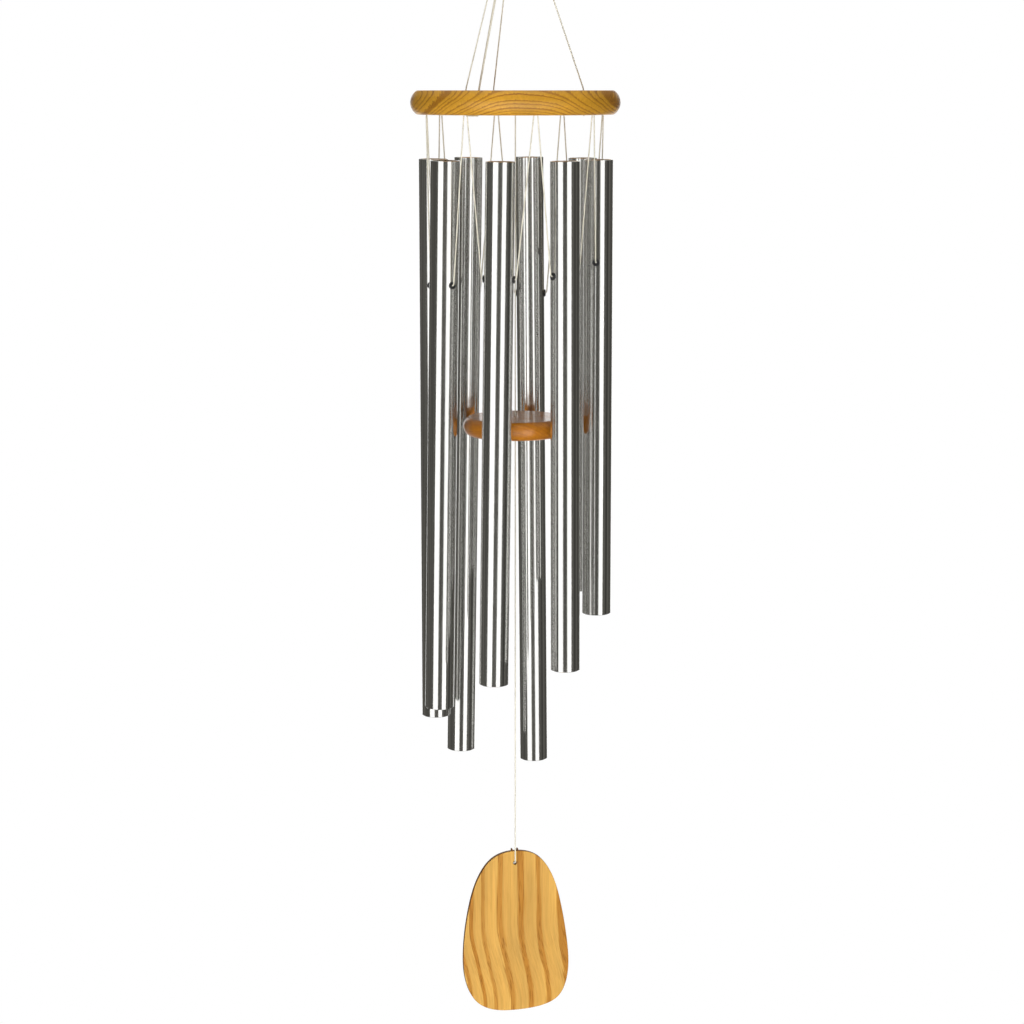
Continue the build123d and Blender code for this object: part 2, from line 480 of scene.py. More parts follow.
@dataclass(frozen=True)
class Twine:
    """Three strands laid up into a cord."""

    radius: float = 0.6 * MM
    lay: float = 4.2 * MM
    groove: float = 0.24
    around: int = 12
    step: float = 0.42 * MM

    @property
    def knot_radius(self) -> float:
        """How far a stopper knot reaches from its cord."""
        return 5.2 * self.radius

    @property
    def knot_height(self) -> float:
        """How much of its cord a stopper knot covers."""
        return 7.2 * self.radius

    def add(
        self, shell: Shell, line: np.ndarray, reference: np.ndarray | None = None, closed: bool = False
    ) -> None:
        """Add a length of cord to a shell.

        The skin stands off the line by radius * (1 - groove + groove * |cos(1.5 * (a - w))|), where
        a is the angle round the line and the twist w grows by one turn each lay. Its pattern
        place is the skin's point in the strands' own turning frame, with the reach along the line.

        Args:
            shell: where the cord goes.
            line: the line that it follows.
            reference: a direction that the line never takes, or None to find one.
            closed: the line is a loop, its first point not repeated.
        """
        walk = spaced(np.vstack([line, line[:1]]) if closed else line, self.step)
        if closed:
            walk = walk[:-1]
            ahead = np.roll(walk, -1, axis=0) - np.roll(walk, 1, axis=0)
        else:
            ahead = np.gradient(walk, axis=0)
        ahead /= np.linalg.norm(ahead, axis=1, keepdims=True)
        if reference is None:
            reference = np.linalg.svd(walk - walk.mean(axis=0), full_matrices=False)[2][2]
        side = reference - (ahead @ reference)[:, None] * ahead
        side /= np.linalg.norm(side, axis=1, keepdims=True)
        third = np.cross(ahead, side)
        reach = np.arange(len(walk)) * self.step
        turns = reach / self.lay
        if closed:
            turns *= max(1, round(turns[-1] * 3)) / 3 / (turns[-1] + self.step / self.lay)
        angle = np.linspace(0, 2 * math.pi, self.around, endpoint=False)[None, :]
        twist = 2 * math.pi * turns[:, None]
        stand = self.radius * (1 - self.groove + self.groove * np.abs(np.cos(1.5 * (angle - twist))))
        local = np.stack(
            [
                self.radius * np.cos(angle - twist),
                self.radius * np.sin(angle - twist),
                np.broadcast_to(reach[:, None], stand.shape),
            ],
            axis=-1,
        )
        if not closed:
            walk, side, third = (np.vstack([a[:1], a, a[-1:]]) for a in (walk, side, third))
            stand = np.vstack([stand[:1] * 0, stand, stand[-1:] * 0])
            local = np.concatenate([local[:1], local, local[-1:]])
        spoke = side[:, None, :] * np.cos(angle)[..., None] + third[:, None, :] * np.sin(angle)[..., None]
        grid = walk[:, None, :] + spoke * stand[..., None]
        shell.add_grid(grid, wrap_rows=closed, wrap_columns=True, local=local)

    def knot(
        self, shell: Shell, centre: np.ndarray, axis: np.ndarray, radius: float, height: float, kind: Knot
    ) -> None:
        """Tie an overhand knot round an axis.

        Its line is a trefoil: across, sin t + 2 sin 2t and cos t - 2 cos 2t, a third of the
        radius each, and -sin 3t along the axis. A doubled knot is two such lines, one on the other.

        Args:
            shell: where the knot goes.
            centre: the knot's middle.
            axis: the direction of the cord that runs through it.
            radius: how far it reaches from the axis.
            height: how much of the axis it covers.
            kind: how many cords it is tied in.
        """
        across = unit(np.cross(axis, FRONT if abs(axis @ FRONT) < 0.9 else UP))
        third = np.cross(axis, across)
        t = np.linspace(0, 2 * math.pi, 120, endpoint=False)[:, None]
        wide = (radius - self.radius) / 3
        deep = height / 2 - kind.value * self.radius
        line = (
            across * (np.sin(t) + 2 * np.sin(2 * t)) * wide
            + third * (np.cos(t) - 2 * np.cos(2 * t)) * wide
            - axis * np.sin(3 * t) * deep
        )
        for layer in range(kind.value):
            lift = axis * self.radius * (2 * layer - kind.value + 1)
            self.add(shell, centre + line + lift, reference=axis, closed=True)


TWINE = Twine()


# ---- finishes ----

class Graph:
    """Short ways to add nodes to a material or a node group and to join them."""

    def __init__(self, tree: bpy.types.NodeTree) -> None:
        """Work on one node tree."""
        self.tree = tree

    def add(self, kind: str, inputs: dict | None = None, **settings: object) -> bpy.types.Node:
        """Add a node.

        Args:
            kind: Blender's name for the node.
            inputs: a value or a socket for each input, by name or by place.
            settings: the node's own settings.

        Returns:
            The node.
        """
        node = self.tree.nodes.new(kind)
        for key, value in settings.items():
            setattr(node, key, value)
        self.feed(node, inputs or {})
        return node

    def feed(self, node: bpy.types.Node, inputs: dict) -> None:
        """Set a node's inputs, or join sockets to them.

        Args:
            node: a node of the tree.
            inputs: a value or a socket for each input, by name or by place.
        """
        for key, value in inputs.items():
            if isinstance(value, bpy.types.NodeSocket):
                self.tree.links.new(value, node.inputs[key])
            else:
                node.inputs[key].default_value = value

    def math(self, operation: str, *values: float | bpy.types.NodeSocket) -> bpy.types.NodeSocket:
        """One step of arithmetic on values or sockets."""
        return self.add("ShaderNodeMath", dict(enumerate(values)), operation=operation).outputs[0]

    def rise(self, value: bpy.types.NodeSocket, low: float, high: float) -> bpy.types.NodeSocket:
        """A smooth step from 0 at low to 1 at high."""
        inputs = {"Value": value, "From Min": low, "From Max": high}
        return self.add("ShaderNodeMapRange", inputs, interpolation_type="SMOOTHSTEP").outputs["Result"]

    def between(self, factor: bpy.types.NodeSocket, low: float, high: float) -> bpy.types.NodeSocket:
        """A value that runs from low to high as the factor runs from 0 to 1."""
        return self.add("ShaderNodeMapRange", {"Value": factor, "To Min": low, "To Max": high}).outputs[0]

    def tint(
        self,
        factor: float | bpy.types.NodeSocket,
        first: tuple | bpy.types.NodeSocket,
        second: tuple | bpy.types.NodeSocket,
        how: str = "MIX",
    ) -> bpy.types.NodeSocket:
        """Mix two colours by a factor."""
        node = self.add("ShaderNodeMix", {0: factor, 6: first, 7: second}, data_type="RGBA", blend_type=how)
        return node.outputs[2]

    def stretch(self, vector: bpy.types.NodeSocket, x: float, y: float, z: float) -> bpy.types.NodeSocket:
        """Scale a pattern along its axes."""
        return self.add("ShaderNodeMapping", {"Vector": vector, "Scale": (x, y, z)}).outputs[0]

    def noise(self, vector: bpy.types.NodeSocket, scale: float, detail: float = 2.0) -> bpy.types.NodeSocket:
        """Smooth noise about 0.5."""
        node = self.add("ShaderNodeTexNoise", {"Vector": vector, "Scale": scale, "Detail": detail})
        return node.outputs["Fac"]


def effect(name: str, inputs: dict[str, str], outputs: dict[str, str]) -> tuple[Graph, dict, bpy.types.Node]:
    """Start a shared effect as a node group.

    Args:
        name: the group's name.
        inputs: each input's name and its kind, Float or Vector.
        outputs: each output's name and its kind.

    Returns:
        The group's graph, its input sockets by name, and its output node.
    """
    tree = bpy.data.node_groups.new(name, "ShaderNodeTree")
    for side, sockets in (("INPUT", inputs), ("OUTPUT", outputs)):
        for label, kind in sockets.items():
            tree.interface.new_socket(name=label, in_out=side, socket_type=f"NodeSocket{kind}")
    graph = Graph(tree)
    entry, leave = graph.add("NodeGroupInput"), graph.add("NodeGroupOutput")
    return graph, {label: entry.outputs[label] for label in inputs}, leave


def ring_grain() -> bpy.types.NodeTree:
    """Ash's growth rings about the pattern's own Z axis.

    The ring number is the distance from the axis over the ring's width, pushed about by noise. The
    last part of each ring, from its Band Start on, is the dark band, whose edges are feathered by
    fine fibres. Pores are short streaks along the axis, thickest in that band.

    Returns:
        The node group, made once.
    """
    name = "Ring grain"
    if name in bpy.data.node_groups:
        return bpy.data.node_groups[name]
    inputs = {
        "Vector": "Vector", "Ring Width": "Float", "Waver": "Float", "Unevenness": "Float",
        "Band Start": "Float",
    }
    outputs = {"Band": "Float", "Pores": "Float", "Fibre": "Float", "Ring Tone": "Float"}
    g, take, give = effect(name, inputs, outputs)
    vector = take["Vector"]
    sway = g.math("SUBTRACT", g.noise(g.stretch(vector, 1, 1, 0.3), 26.0, 1.5), 0.5)
    ripple = g.math("SUBTRACT", g.noise(g.stretch(vector, 1, 1, 0.12), 240.0, 1.0), 0.5)
    push = g.math("ADD", sway, g.math("MULTIPLY", ripple, 0.16))
    flat = g.stretch(vector, 1, 1, 0)
    radius = g.add("ShaderNodeVectorMath", {0: flat}, operation="LENGTH").outputs["Value"]
    radius = g.math("ADD", radius, g.math("MULTIPLY", push, take["Waver"]))
    ring = g.math("DIVIDE", radius, take["Ring Width"])
    drift = g.add("ShaderNodeTexNoise", {"W": ring, "Scale": 0.45, "Detail": 1.0}, noise_dimensions="1D")
    ring = g.math("ADD", ring, g.math("MULTIPLY", drift.outputs["Fac"], take["Unevenness"]))
    fibre = g.noise(g.stretch(vector, 1, 1, 0.02), 620.0, 3.0)
    feather = g.math("MULTIPLY", g.math("SUBTRACT", fibre, 0.5), 0.34)
    part = g.math("FRACT", g.math("ADD", ring, feather))
    past = g.math("SUBTRACT", part, take["Band Start"])
    band = g.math("MULTIPLY", g.rise(past, -0.05, 0.07), g.math("SUBTRACT", 1.0, g.rise(part, 0.93, 1.0)))
    year = g.add("ShaderNodeTexWhiteNoise", {"W": g.math("FLOOR", ring)}, noise_dimensions="1D")
    band = g.math("MULTIPLY", band, g.between(year.outputs["Value"], 0.6, 1.0))
    streaks = g.noise(g.stretch(vector, 1, 1, 0.035), 1500.0, 1.0)
    pores = g.math("MULTIPLY", g.rise(streaks, 0.52, 0.66), g.between(band, 0.16, 1.0))
    g.feed(give, {"Band": band, "Pores": pores, "Fibre": fibre, "Ring Tone": part})
    return g.tree


def handling() -> bpy.types.NodeTree:
    """Faint smears and dust that a shiny surface picks up: broad clouds with fine specks in them.

    Returns:
        The node group, made once.
    """
    name = "Handling"
    if name in bpy.data.node_groups:
        return bpy.data.node_groups[name]
    g, take, give = effect(name, {"Vector": "Vector", "Size": "Float"}, {"Smear": "Float", "Dust": "Float"})
    vector = g.add("ShaderNodeVectorMath", {0: take["Vector"], "Scale": take["Size"]}, operation="SCALE")
    smear = g.rise(g.noise(vector.outputs[0], 1.0, 4.0), 0.42, 0.72)
    dust = g.rise(g.noise(vector.outputs[0], 38.0, 1.0), 0.66, 0.78)
    g.feed(give, {"Smear": smear, "Dust": dust})
    return g.tree


def shader(name: str) -> tuple[Graph, bpy.types.Node]:
    """Start a material.

    Args:
        name: the material's name.

    Returns:
        Its graph and its Principled BSDF.
    """
    material = bpy.data.materials.new(name)
    material.use_nodes = True
    material.node_tree.nodes.clear()
    graph = Graph(material.node_tree)
    principled = graph.add("ShaderNodeBsdfPrincipled")
    graph.add("ShaderNodeOutputMaterial", {"Surface": principled.outputs[0]})
    return graph, principled


def material_of(graph: Graph) -> bpy.types.Material:
    """The material that a graph belongs to."""
    return next(material for material in bpy.data.materials if material.node_tree == graph.tree)


Colour = tuple[float, float, float, float]


def srgb(red: int, green: int, blue: int) -> Colour:
    """Turn a screen colour into linear light.

    Args:
        red: 0 to 255, as the other two.
        green: the same.
        blue: the same.

    Returns:
        The opaque linear colour.
    """
    values = [v / 255 for v in (red, green, blue)]
    linear = [v / 12.92 if v <= 0.04045 else ((v + 0.055) / 1.055) ** 2.4 for v in values]
    return (*linear, 1.0)


def darker(colour: Colour, share: float) -> Colour:
    """The same opaque colour with only a share of its light."""
    return tuple(share * value for value in colour[:3]) + (1.0,)


@dataclass(frozen=True)
class LacqueredAsh:
    """Stained ash under lacquer, with its growth rings about a pith line of its own."""

    name: str
    ground: Colour
    ring: Colour
    pore: Colour
    pith: tuple[float, float, float]
    tilt: tuple[float, float, float]
    ring_width: float
    waver: float
    unevenness: float = 1.6
    band_start: float = 0.7
    band_strength: float = 0.85
    pore_strength: float = 0.6
    # edge colour and its strength: painted shade on rounded edges, laid on where the tone is high
    edge_colour: Colour = srgb(92, 56, 26)
    edge_strength: float = 0.0
    roughness: float = 0.34
    specular: float = 0.5
    coat: float = 0.5
    coat_roughness: float = 0.12

    def grain_place(self, graph: Graph) -> bpy.types.NodeSocket:
        """The surface's place measured from the pith line.

        Args:
            graph: the material's graph.

        Returns:
            The place, with its Z along the pith.
        """
        place = graph.add("ShaderNodeTexCoord").outputs["Object"]
        inputs = {"Vector": place, "Location": self.pith, "Rotation": [math.radians(a) for a in self.tilt]}
        return graph.add("ShaderNodeMapping", inputs, vector_type="TEXTURE").outputs[0]

    def material(self) -> bpy.types.Material:
        """Build the finish: bands, pores and fibre over clouded stain, with painted shade in the edge colour where the
        tone is high.

        Returns:
            The material.
        """
        g, bsdf = shader(self.name)
        place = self.grain_place(g)
        rings = {
            "Vector": place, "Ring Width": self.ring_width, "Waver": self.waver,
            "Unevenness": self.unevenness, "Band Start": self.band_start,
        }
        grain = g.add("ShaderNodeGroup", rings, node_tree=ring_grain())
        cloud = g.rise(g.noise(g.stretch(place, 1, 1, 0.25), 30.0, 2.0), 0.3, 0.7)
        ground = g.tint(cloud, self.ground, darker(self.ground, 0.82))
        ground = g.tint(g.between(grain.outputs["Ring Tone"], 0.0, 0.2), ground, self.ring)
        colour = g.tint(g.between(grain.outputs["Band"], 0.0, self.band_strength), ground, self.ring)
        colour = g.tint(g.between(grain.outputs["Pores"], 0.0, self.pore_strength), colour, self.pore)
        shade = g.between(grain.outputs["Fibre"], 0.72, 1.22)
        grey = g.add("ShaderNodeCombineColor", {0: shade, 1: shade, 2: shade}).outputs[0]
        colour = g.tint(1.0, colour, grey, "MULTIPLY")
        # painted shade: the edge colour is mixed in where the tone is high, on the rounded edges
        tone = g.add("ShaderNodeAttribute", attribute_name="tone").outputs["Fac"]
        edge = g.between(g.rise(tone, 0.25, 0.8), 0.0, self.edge_strength)
        colour = g.tint(edge, colour, self.edge_colour)
        surface = g.add("ShaderNodeTexCoord").outputs["Object"]
        touch = g.add("ShaderNodeGroup", {"Vector": surface, "Size": 30.0}, node_tree=handling())
        rough = g.between(touch.outputs["Smear"], self.roughness, self.roughness + 0.09)
        rough = g.math("ADD", rough, g.math("MULTIPLY", grain.outputs["Pores"], 0.12))
        height = g.math("SUBTRACT", g.math("MULTIPLY", grain.outputs["Fibre"], 0.35), grain.outputs["Pores"])
        bump = g.add("ShaderNodeBump", {"Height": height, "Strength": 0.35, "Distance": 0.00012})
        g.feed(bsdf, {
            "Base Color": colour, "Roughness": rough, "Normal": bump.outputs[0],
            "Specular IOR Level": self.specular, "Coat Weight": self.coat,
            "Coat Roughness": self.coat_roughness,
        })
        return material_of(g)


@dataclass(frozen=True)
class BoardAsh(LacqueredAsh):
    """Ash whose rings bend aside low down, as they do beside a branch."""

    bend: float = 16 * MM
    bend_top: float = 0.0
    bend_bottom: float = 0.0

    def grain_place(self, graph: Graph) -> bpy.types.NodeSocket:
        """The place measured from the pith line, moved back by the rings' bend at that height.

        Args:
            graph: the material's graph.

        Returns:
            The place, with its Z along the pith.
        """
        place = graph.add("ShaderNodeTexCoord").outputs["Object"]
        height = graph.add("ShaderNodeSeparateXYZ", {0: place}).outputs["Z"]
        aside = graph.math("MULTIPLY", graph.rise(height, self.bend_bottom, self.bend_top), self.bend)
        move = graph.add("ShaderNodeCombineXYZ", {0: aside})
        moved = graph.add("ShaderNodeVectorMath", {0: place, 1: move.outputs[0]}, operation="ADD")
        inputs = {"Vector": moved.outputs[0], "Location": self.pith}
        inputs["Rotation"] = [math.radians(a) for a in self.tilt]
        return graph.add("ShaderNodeMapping", inputs, vector_type="TEXTURE").outputs[0]


@dataclass(frozen=True)
class PolishedMetal:
    """Bright metal with faint lines drawn along it, smears and dust."""

    name: str
    colour: Colour
    roughness: float
    drawn: float
    smear: float
    streaks: float = 0.55

    def material(self) -> bpy.types.Material:
        """Build the finish: fine drawn lines and broad dull streaks, under smears and dust.

        Returns:
            The material.
        """
        g, bsdf = shader(self.name)
        place = g.add("ShaderNodeAttribute", attribute_name="local").outputs["Vector"]
        lines = g.noise(g.stretch(place, 1, 1, 0.004), 1100.0, 2.0)
        broad = g.noise(g.stretch(place, 1, 1, 0.01), 260.0, 2.0)
        touch = g.add("ShaderNodeGroup", {"Vector": place, "Size": 45.0}, node_tree=handling())
        rough = g.between(touch.outputs["Smear"], self.roughness, self.roughness + self.smear)
        rough = g.math("ADD", rough, g.between(lines, -0.02, 0.02))
        rough = g.math("ADD", rough, g.math("MULTIPLY", touch.outputs["Dust"], 0.04))
        dull = darker(self.colour, 0.72)
        colour = g.tint(g.rise(broad, 0.3, 0.7), self.colour, dull)
        colour = g.tint(g.between(g.rise(lines, 0.35, 0.7), 0.0, self.streaks), colour, dull)
        bump = g.add("ShaderNodeBump", {"Height": lines, "Strength": self.drawn, "Distance": 0.00002})
        g.feed(bsdf, {"Base Color": colour, "Roughness": rough, "Normal": bump.outputs[0], "Metallic": 1.0})
        return material_of(g)


@dataclass(frozen=True)
class IvoryTwine:
    """Ivory cord: fine fibres that follow each strand, a little soil in places."""

    name: str = "ivory twine"
    light: Colour = srgb(238, 234, 218)
    dark: Colour = srgb(180, 173, 150)

    def material(self) -> bpy.types.Material:
        """Build the finish: light and dark fibres along the strands, with soil in clouds.

        Returns:
            The material.
        """
        g, bsdf = shader(self.name)
        place = g.add("ShaderNodeAttribute", attribute_name="local").outputs["Vector"]
        fibre = g.noise(g.stretch(place, 1, 1, 0.12), 5200.0, 2.0)
        soil = g.rise(g.noise(place, 42.0, 3.0), 0.45, 0.8)
        colour = g.tint(g.rise(fibre, 0.3, 0.75), self.light, self.dark)
        colour = g.tint(g.between(soil, 0.0, 0.35), colour, self.dark)
        bump = g.add("ShaderNodeBump", {"Height": fibre, "Strength": 0.5, "Distance": 0.00006})
        g.feed(bsdf, {
            "Base Color": colour, "Roughness": g.between(fibre, 0.62, 0.85), "Normal": bump.outputs[0],
            "Sheen Weight": 0.25,
        })
        return material_of(g)


@dataclass(frozen=True)
class MattRubber:
    """Black rubber with a fine moulded texture and pale dust."""

    name: str = "black rubber"
    colour: Colour = (0.012, 0.012, 0.013, 1.0)
    dust: Colour = (0.06, 0.058, 0.054, 1.0)

    def material(self) -> bpy.types.Material:
        """Build the finish: black, with pale dust in clouds and a moulded grit.

        Returns:
            The material.
        """
        g, bsdf = shader(self.name)
        place = g.add("ShaderNodeTexCoord").outputs["Object"]
        touch = g.add("ShaderNodeGroup", {"Vector": place, "Size": 220.0}, node_tree=handling())
        grit = g.noise(place, 4200.0, 1.0)
        colour = g.tint(g.between(touch.outputs["Smear"], 0.0, 0.5), self.colour, self.dust)
        bump = g.add("ShaderNodeBump", {"Height": grit, "Strength": 0.3, "Distance": 0.00004})
        g.feed(bsdf, {
            "Base Color": colour, "Roughness": g.between(grit, 0.55, 0.8), "Normal": bump.outputs[0],
        })
        return material_of(g)


# ---- hang ring and hitch ----

@dataclass(frozen=True)
class HangRing:
    """The plated wire ring that the whole chime hangs from."""

    finish: bpy.types.Material
    columns: int = 128
    around: int = 32
    weld_angle: float = 62.0
    weld_swell: float = 0.07
    weld_width: float = 5.0

    def build(self) -> None:
        """A ring of round wire about Y, its wire a little swollen at the weld.

        The wire's radius is multiplied by 1 + swell * exp(-(d / width)^2), where d is the angle
        from the weld.
        """
        low, high = node_span("hang_ring", UP)
        wire = np.ptp(node_points("hang_ring") @ FRONT) / 2
        radius = (high - low) / 2 - wire
        angle = np.linspace(0, 360, self.columns, endpoint=False)
        off = (angle - self.weld_angle + 180) % 360 - 180
        thick = wire * (1 + self.weld_swell * np.exp(-((off / self.weld_width) ** 2)))[:, None]
        section = np.linspace(0, 2 * math.pi, self.around, endpoint=False)[None, :]
        turn = np.radians(angle)[:, None]
        reach = radius + thick * np.cos(section)
        grid = np.stack([reach * np.sin(turn), thick * np.sin(section), reach * np.cos(turn)], axis=-1)
        run = np.broadcast_to(turn * radius, reach.shape)
        local = np.stack([thick * np.cos(section), thick * np.sin(section), run], axis=-1)
        shell = Shell()
        shell.add_grid(grid, wrap_rows=True, wrap_columns=True, local=local)
        install(shell.to_object("plated_ring", self.finish), "hanger", "steel_ring", "hang_ring")


@dataclass(frozen=True)
class Hitch:
    """Three cords doubled over the ring's wire and bound under it."""

    finish: bpy.types.Material
    bundle: float = 1.2 * MM     # from the axis to each leg inside the binding
    wrap_pitch: float = 1.24 * MM
    leg_gather: float = 2.4 * MM
    leg_angles: tuple[float, ...] = (13, 63, 129, 179, 247, 297)

    def bights(self, wire: float, top: float) -> bpy.types.Object:
        """Each bight rises out of the binding, goes once over the wire and comes down behind it.

        Args:
            wire: the height of the wire's middle.
            top: the height of the binding's top.

        Returns:
            The three bights as one piece.
        """
        spans = node_points("cord_bights")
        half_x = np.ptp(spans[:, 0]) / 2 - TWINE.radius
        reach = np.ptp(spans[:, 1]) / 2 - TWINE.radius
        shell = Shell()
        for x in (-half_x, 0.0, half_x):
            arc = np.radians(np.linspace(-90, 90, 25))
            over = np.column_stack([np.full(25, x), reach * np.sin(arc), wire + reach * np.cos(arc)])
            foot_x = x * self.bundle / half_x * 0.8
            foot_y = self.bundle if x == 0 else self.bundle / 2
            foot = top - 2 * MM
            front = [
                np.array([foot_x, -foot_y, foot]), np.array([foot_x, -foot_y, top - 0.4 * MM]),
                np.array([x, -reach, wire - 0.9 * MM]),
            ]
            back = [point * np.array([1, -1, 1]) for point in reversed(front)]
            route = smooth_route(front + list(over[4:21:4]) + back)
            TWINE.add(shell, route, reference=np.array([1.0, 0, 0]))
        return shell.to_object("ring_bights", self.finish)

    def binding(self, top: float, bottom: float) -> bpy.types.Object:
        """A helix of cord round the six legs, whose lower ends fan out under it.

        The helix is (r cos a, r sin a, z) with z falling by one pitch a turn.

        Args:
            top: the height of the binding's top.
            bottom: the height of its foot.

        Returns:
            The binding and the legs in it as one piece.
        """
        shell = Shell()
        radius = self.bundle + 2 * TWINE.radius - 0.1 * MM
        drop = top - bottom - 2 * TWINE.radius
        turns = drop / self.wrap_pitch
        angle = np.linspace(0, 2 * math.pi * turns, int(turns * 40))
        height = top - TWINE.radius - drop * angle / angle[-1]
        wrap = np.column_stack([radius * np.cos(angle), radius * np.sin(angle), height])
        TWINE.add(shell, wrap, reference=UP)
        for place in self.leg_angles:
            route = [
                ring_point(self.bundle, place, top - 1.5 * MM),
                ring_point(self.bundle, place, bottom + 1.2 * MM),
                ring_point(self.leg_gather, place, bottom - 0.9 * MM),
            ]
            TWINE.add(shell, smooth_route(route), reference=ring_tangent(place))
        return shell.to_object("bound_legs", self.finish)

    def build(self) -> None:
        """Build the bights and the binding."""
        wire = hinge("hanger_swing").place[2]
        low, high = node_span("whipping", UP)
        install(self.bights(wire, high), "hitch", "cord", "cord_bights")
        install(self.binding(high, low), "hitch", "cord", "whipping")


# ---- turned wood ----

def turned_outline(
    radius: float,
    low: float,
    high: float,
    edge_depth: float,
    bore: float,
    recess: tuple[float, float] = (0, 0),
) -> np.ndarray:
    """The closed outline of a disc whose rim is one arc from face to face.

    With half the thickness h and the edge's depth d, the arc's radius is (h^2 + d^2) / 2d.

    Args:
        radius: the disc's radius.
        low: its under face.
        high: its top face.
        edge_depth: how far the rim bulges past the flat faces.
        bore: the radius of the hole through it.
        recess: the radius and depth of a recess in the top, round the hole.

    Returns:
        Radius and height, one point a row, corners rounded.
    """
    half, middle = (high - low) / 2, (high + low) / 2
    arc = (half ** 2 + edge_depth ** 2) / (2 * edge_depth)
    reach = math.asin(min(1.0, half / arc))
    angle = np.linspace(reach, -reach, 60)
    rim = np.column_stack([radius - arc + arc * np.cos(angle), middle + arc * np.sin(angle)])
    wide, deep = recess
    mouth = [(bore, high - deep), (wide, high - deep), (wide, high)] if deep else [(bore, high)]
    return softened(np.vstack([mouth, rim, [(bore, low)]]), window=1.4 * MM)


@dataclass(frozen=True)
class TopDisc:
    """The turned disc that carries the tubes, with its sunk knots' recesses and cord holes."""

    finish: bpy.types.Material
    edge_depth: float = 5.7 * MM
    lace_inset: float = 12 * MM
    tubes: int = 8
    front_tube_angle: float = 10.0
    recess_radius: float = 4.12 * MM
    recess_depth: float = 5.5 * MM
    lace_hole: float = 2.5 * MM
    cord_hole: float = 1.5 * MM
    suspension_inset: float = 31.5 * MM
    suspension_angles: tuple[float, ...] = (38.0, 154.0, 272.0)
    suspension_spacing: float = 14.6 * MM
    lip: float = 0.4 * MM
    spare: float = 1 * MM        # how far a hole's plug runs past the faces
    columns: int = 240

    @property
    def span(self) -> tuple[float, float]:
        """The heights of the under face and the top face."""
        return node_span("top_disc", UP)

    @property
    def radius(self) -> float:
        """The disc's radius."""
        return node_span("top_disc", np.array([1.0, 0, 0]))[1]

    @property
    def lace_ring(self) -> float:
        """From the axis to the lacing holes."""
        return self.radius - self.lace_inset

    def lace_angle(self, number: int) -> float:
        """The angle of a lacing hole."""
        return self.front_tube_angle + (number + 0.5) * 360 / self.tubes

    def suspension_pair(self, angle: float, height: float) -> tuple[np.ndarray, np.ndarray]:
        """Place the two holes of a suspension cord.

        Args:
            angle: the pair's angle round the disc.
            height: the height of the two points.

        Returns:
            The holes' places, in the order in which the angle grows.
        """
        middle = ring_point(self.radius - self.suspension_inset, angle, height)
        side = ring_tangent(angle) * self.suspension_spacing / 2
        return middle - side, middle + side

    def cutter(self, shell: Shell, centre: np.ndarray, wide: float, narrow: float, floor: float) -> None:
        """Add a hole's shape: a stepped plug that flares at both mouths.

        Args:
            shell: where the plug goes.
            centre: a point on the hole's axis.
            wide: its radius above the step.
            narrow: its radius below the step.
            floor: the step's height.
        """
        low, high = self.span
        lip, spare = self.lip, self.spare
        outline = [
            (0, high + spare), (wide + lip + spare, high + spare), (wide + lip, high), (wide, high - lip),
            (wide, floor), (narrow, floor), (narrow, low + lip), (narrow + lip, low),
            (narrow + lip + spare, low - spare), (0, low - spare),
        ]
        grid = around_axis(np.array(outline), 40)
        grid[..., :2] += centre[:2]
        shell.add_grid(grid, wrap_columns=True)

    def build(self) -> None:
        """Turn the blank and cut the holes."""
        low, high = self.span
        recess = (self.recess_radius, self.recess_depth)
        outline = turned_outline(self.radius, low, high, self.edge_depth, self.cord_hole, recess)
        blank, plugs = Shell(), Shell()
        blank.add_grid(around_axis(outline, self.columns), wrap_rows=True, wrap_columns=True)
        floor = high - self.recess_depth
        for number in range(self.tubes):
            centre = ring_point(self.lace_ring, self.lace_angle(number), 0)
            self.cutter(plugs, centre, self.recess_radius, self.lace_hole, floor)
        for angle in self.suspension_angles:
            for centre in self.suspension_pair(angle, 0):
                self.cutter(plugs, centre, self.cord_hole, self.cord_hole, floor)
        disc, tool = blank.to_object("disc_blank", self.finish), plugs.to_object("disc_holes", None)
        cut = disc.modifiers.new("holes", "BOOLEAN")
        cut.operation, cut.object, cut.solver = "DIFFERENCE", tool, "EXACT"
        graph = bpy.context.evaluated_depsgraph_get()
        mesh = bpy.data.meshes.new_from_object(disc.evaluated_get(graph))
        bpy.data.objects.remove(disc)
        bpy.data.objects.remove(tool)
        install(dressed("ash_top_disc", mesh, self.finish, 28.0), "platform", "disc_ash", "top_disc")


@dataclass(frozen=True)
class Striker:
    """The turned disc that swings among the tubes."""

    finish: bpy.types.Material
    edge_depth: float = 5.0 * MM
    bore: float = 1.2 * MM
    columns: int = 200

    def build(self) -> None:
        """Turn it."""
        low, high = node_span("striker", UP)
        radius = node_span("striker", np.array([1.0, 0, 0]))[1]
        outline = turned_outline(radius, low, high, self.edge_depth, self.bore)
        shell = Shell()
        shell.add_grid(around_axis(outline, self.columns), wrap_rows=True, wrap_columns=True)
        install(shell.to_object("ash_striker", self.finish), "striker", "striker_ash", "striker")


# ---- tubes ----

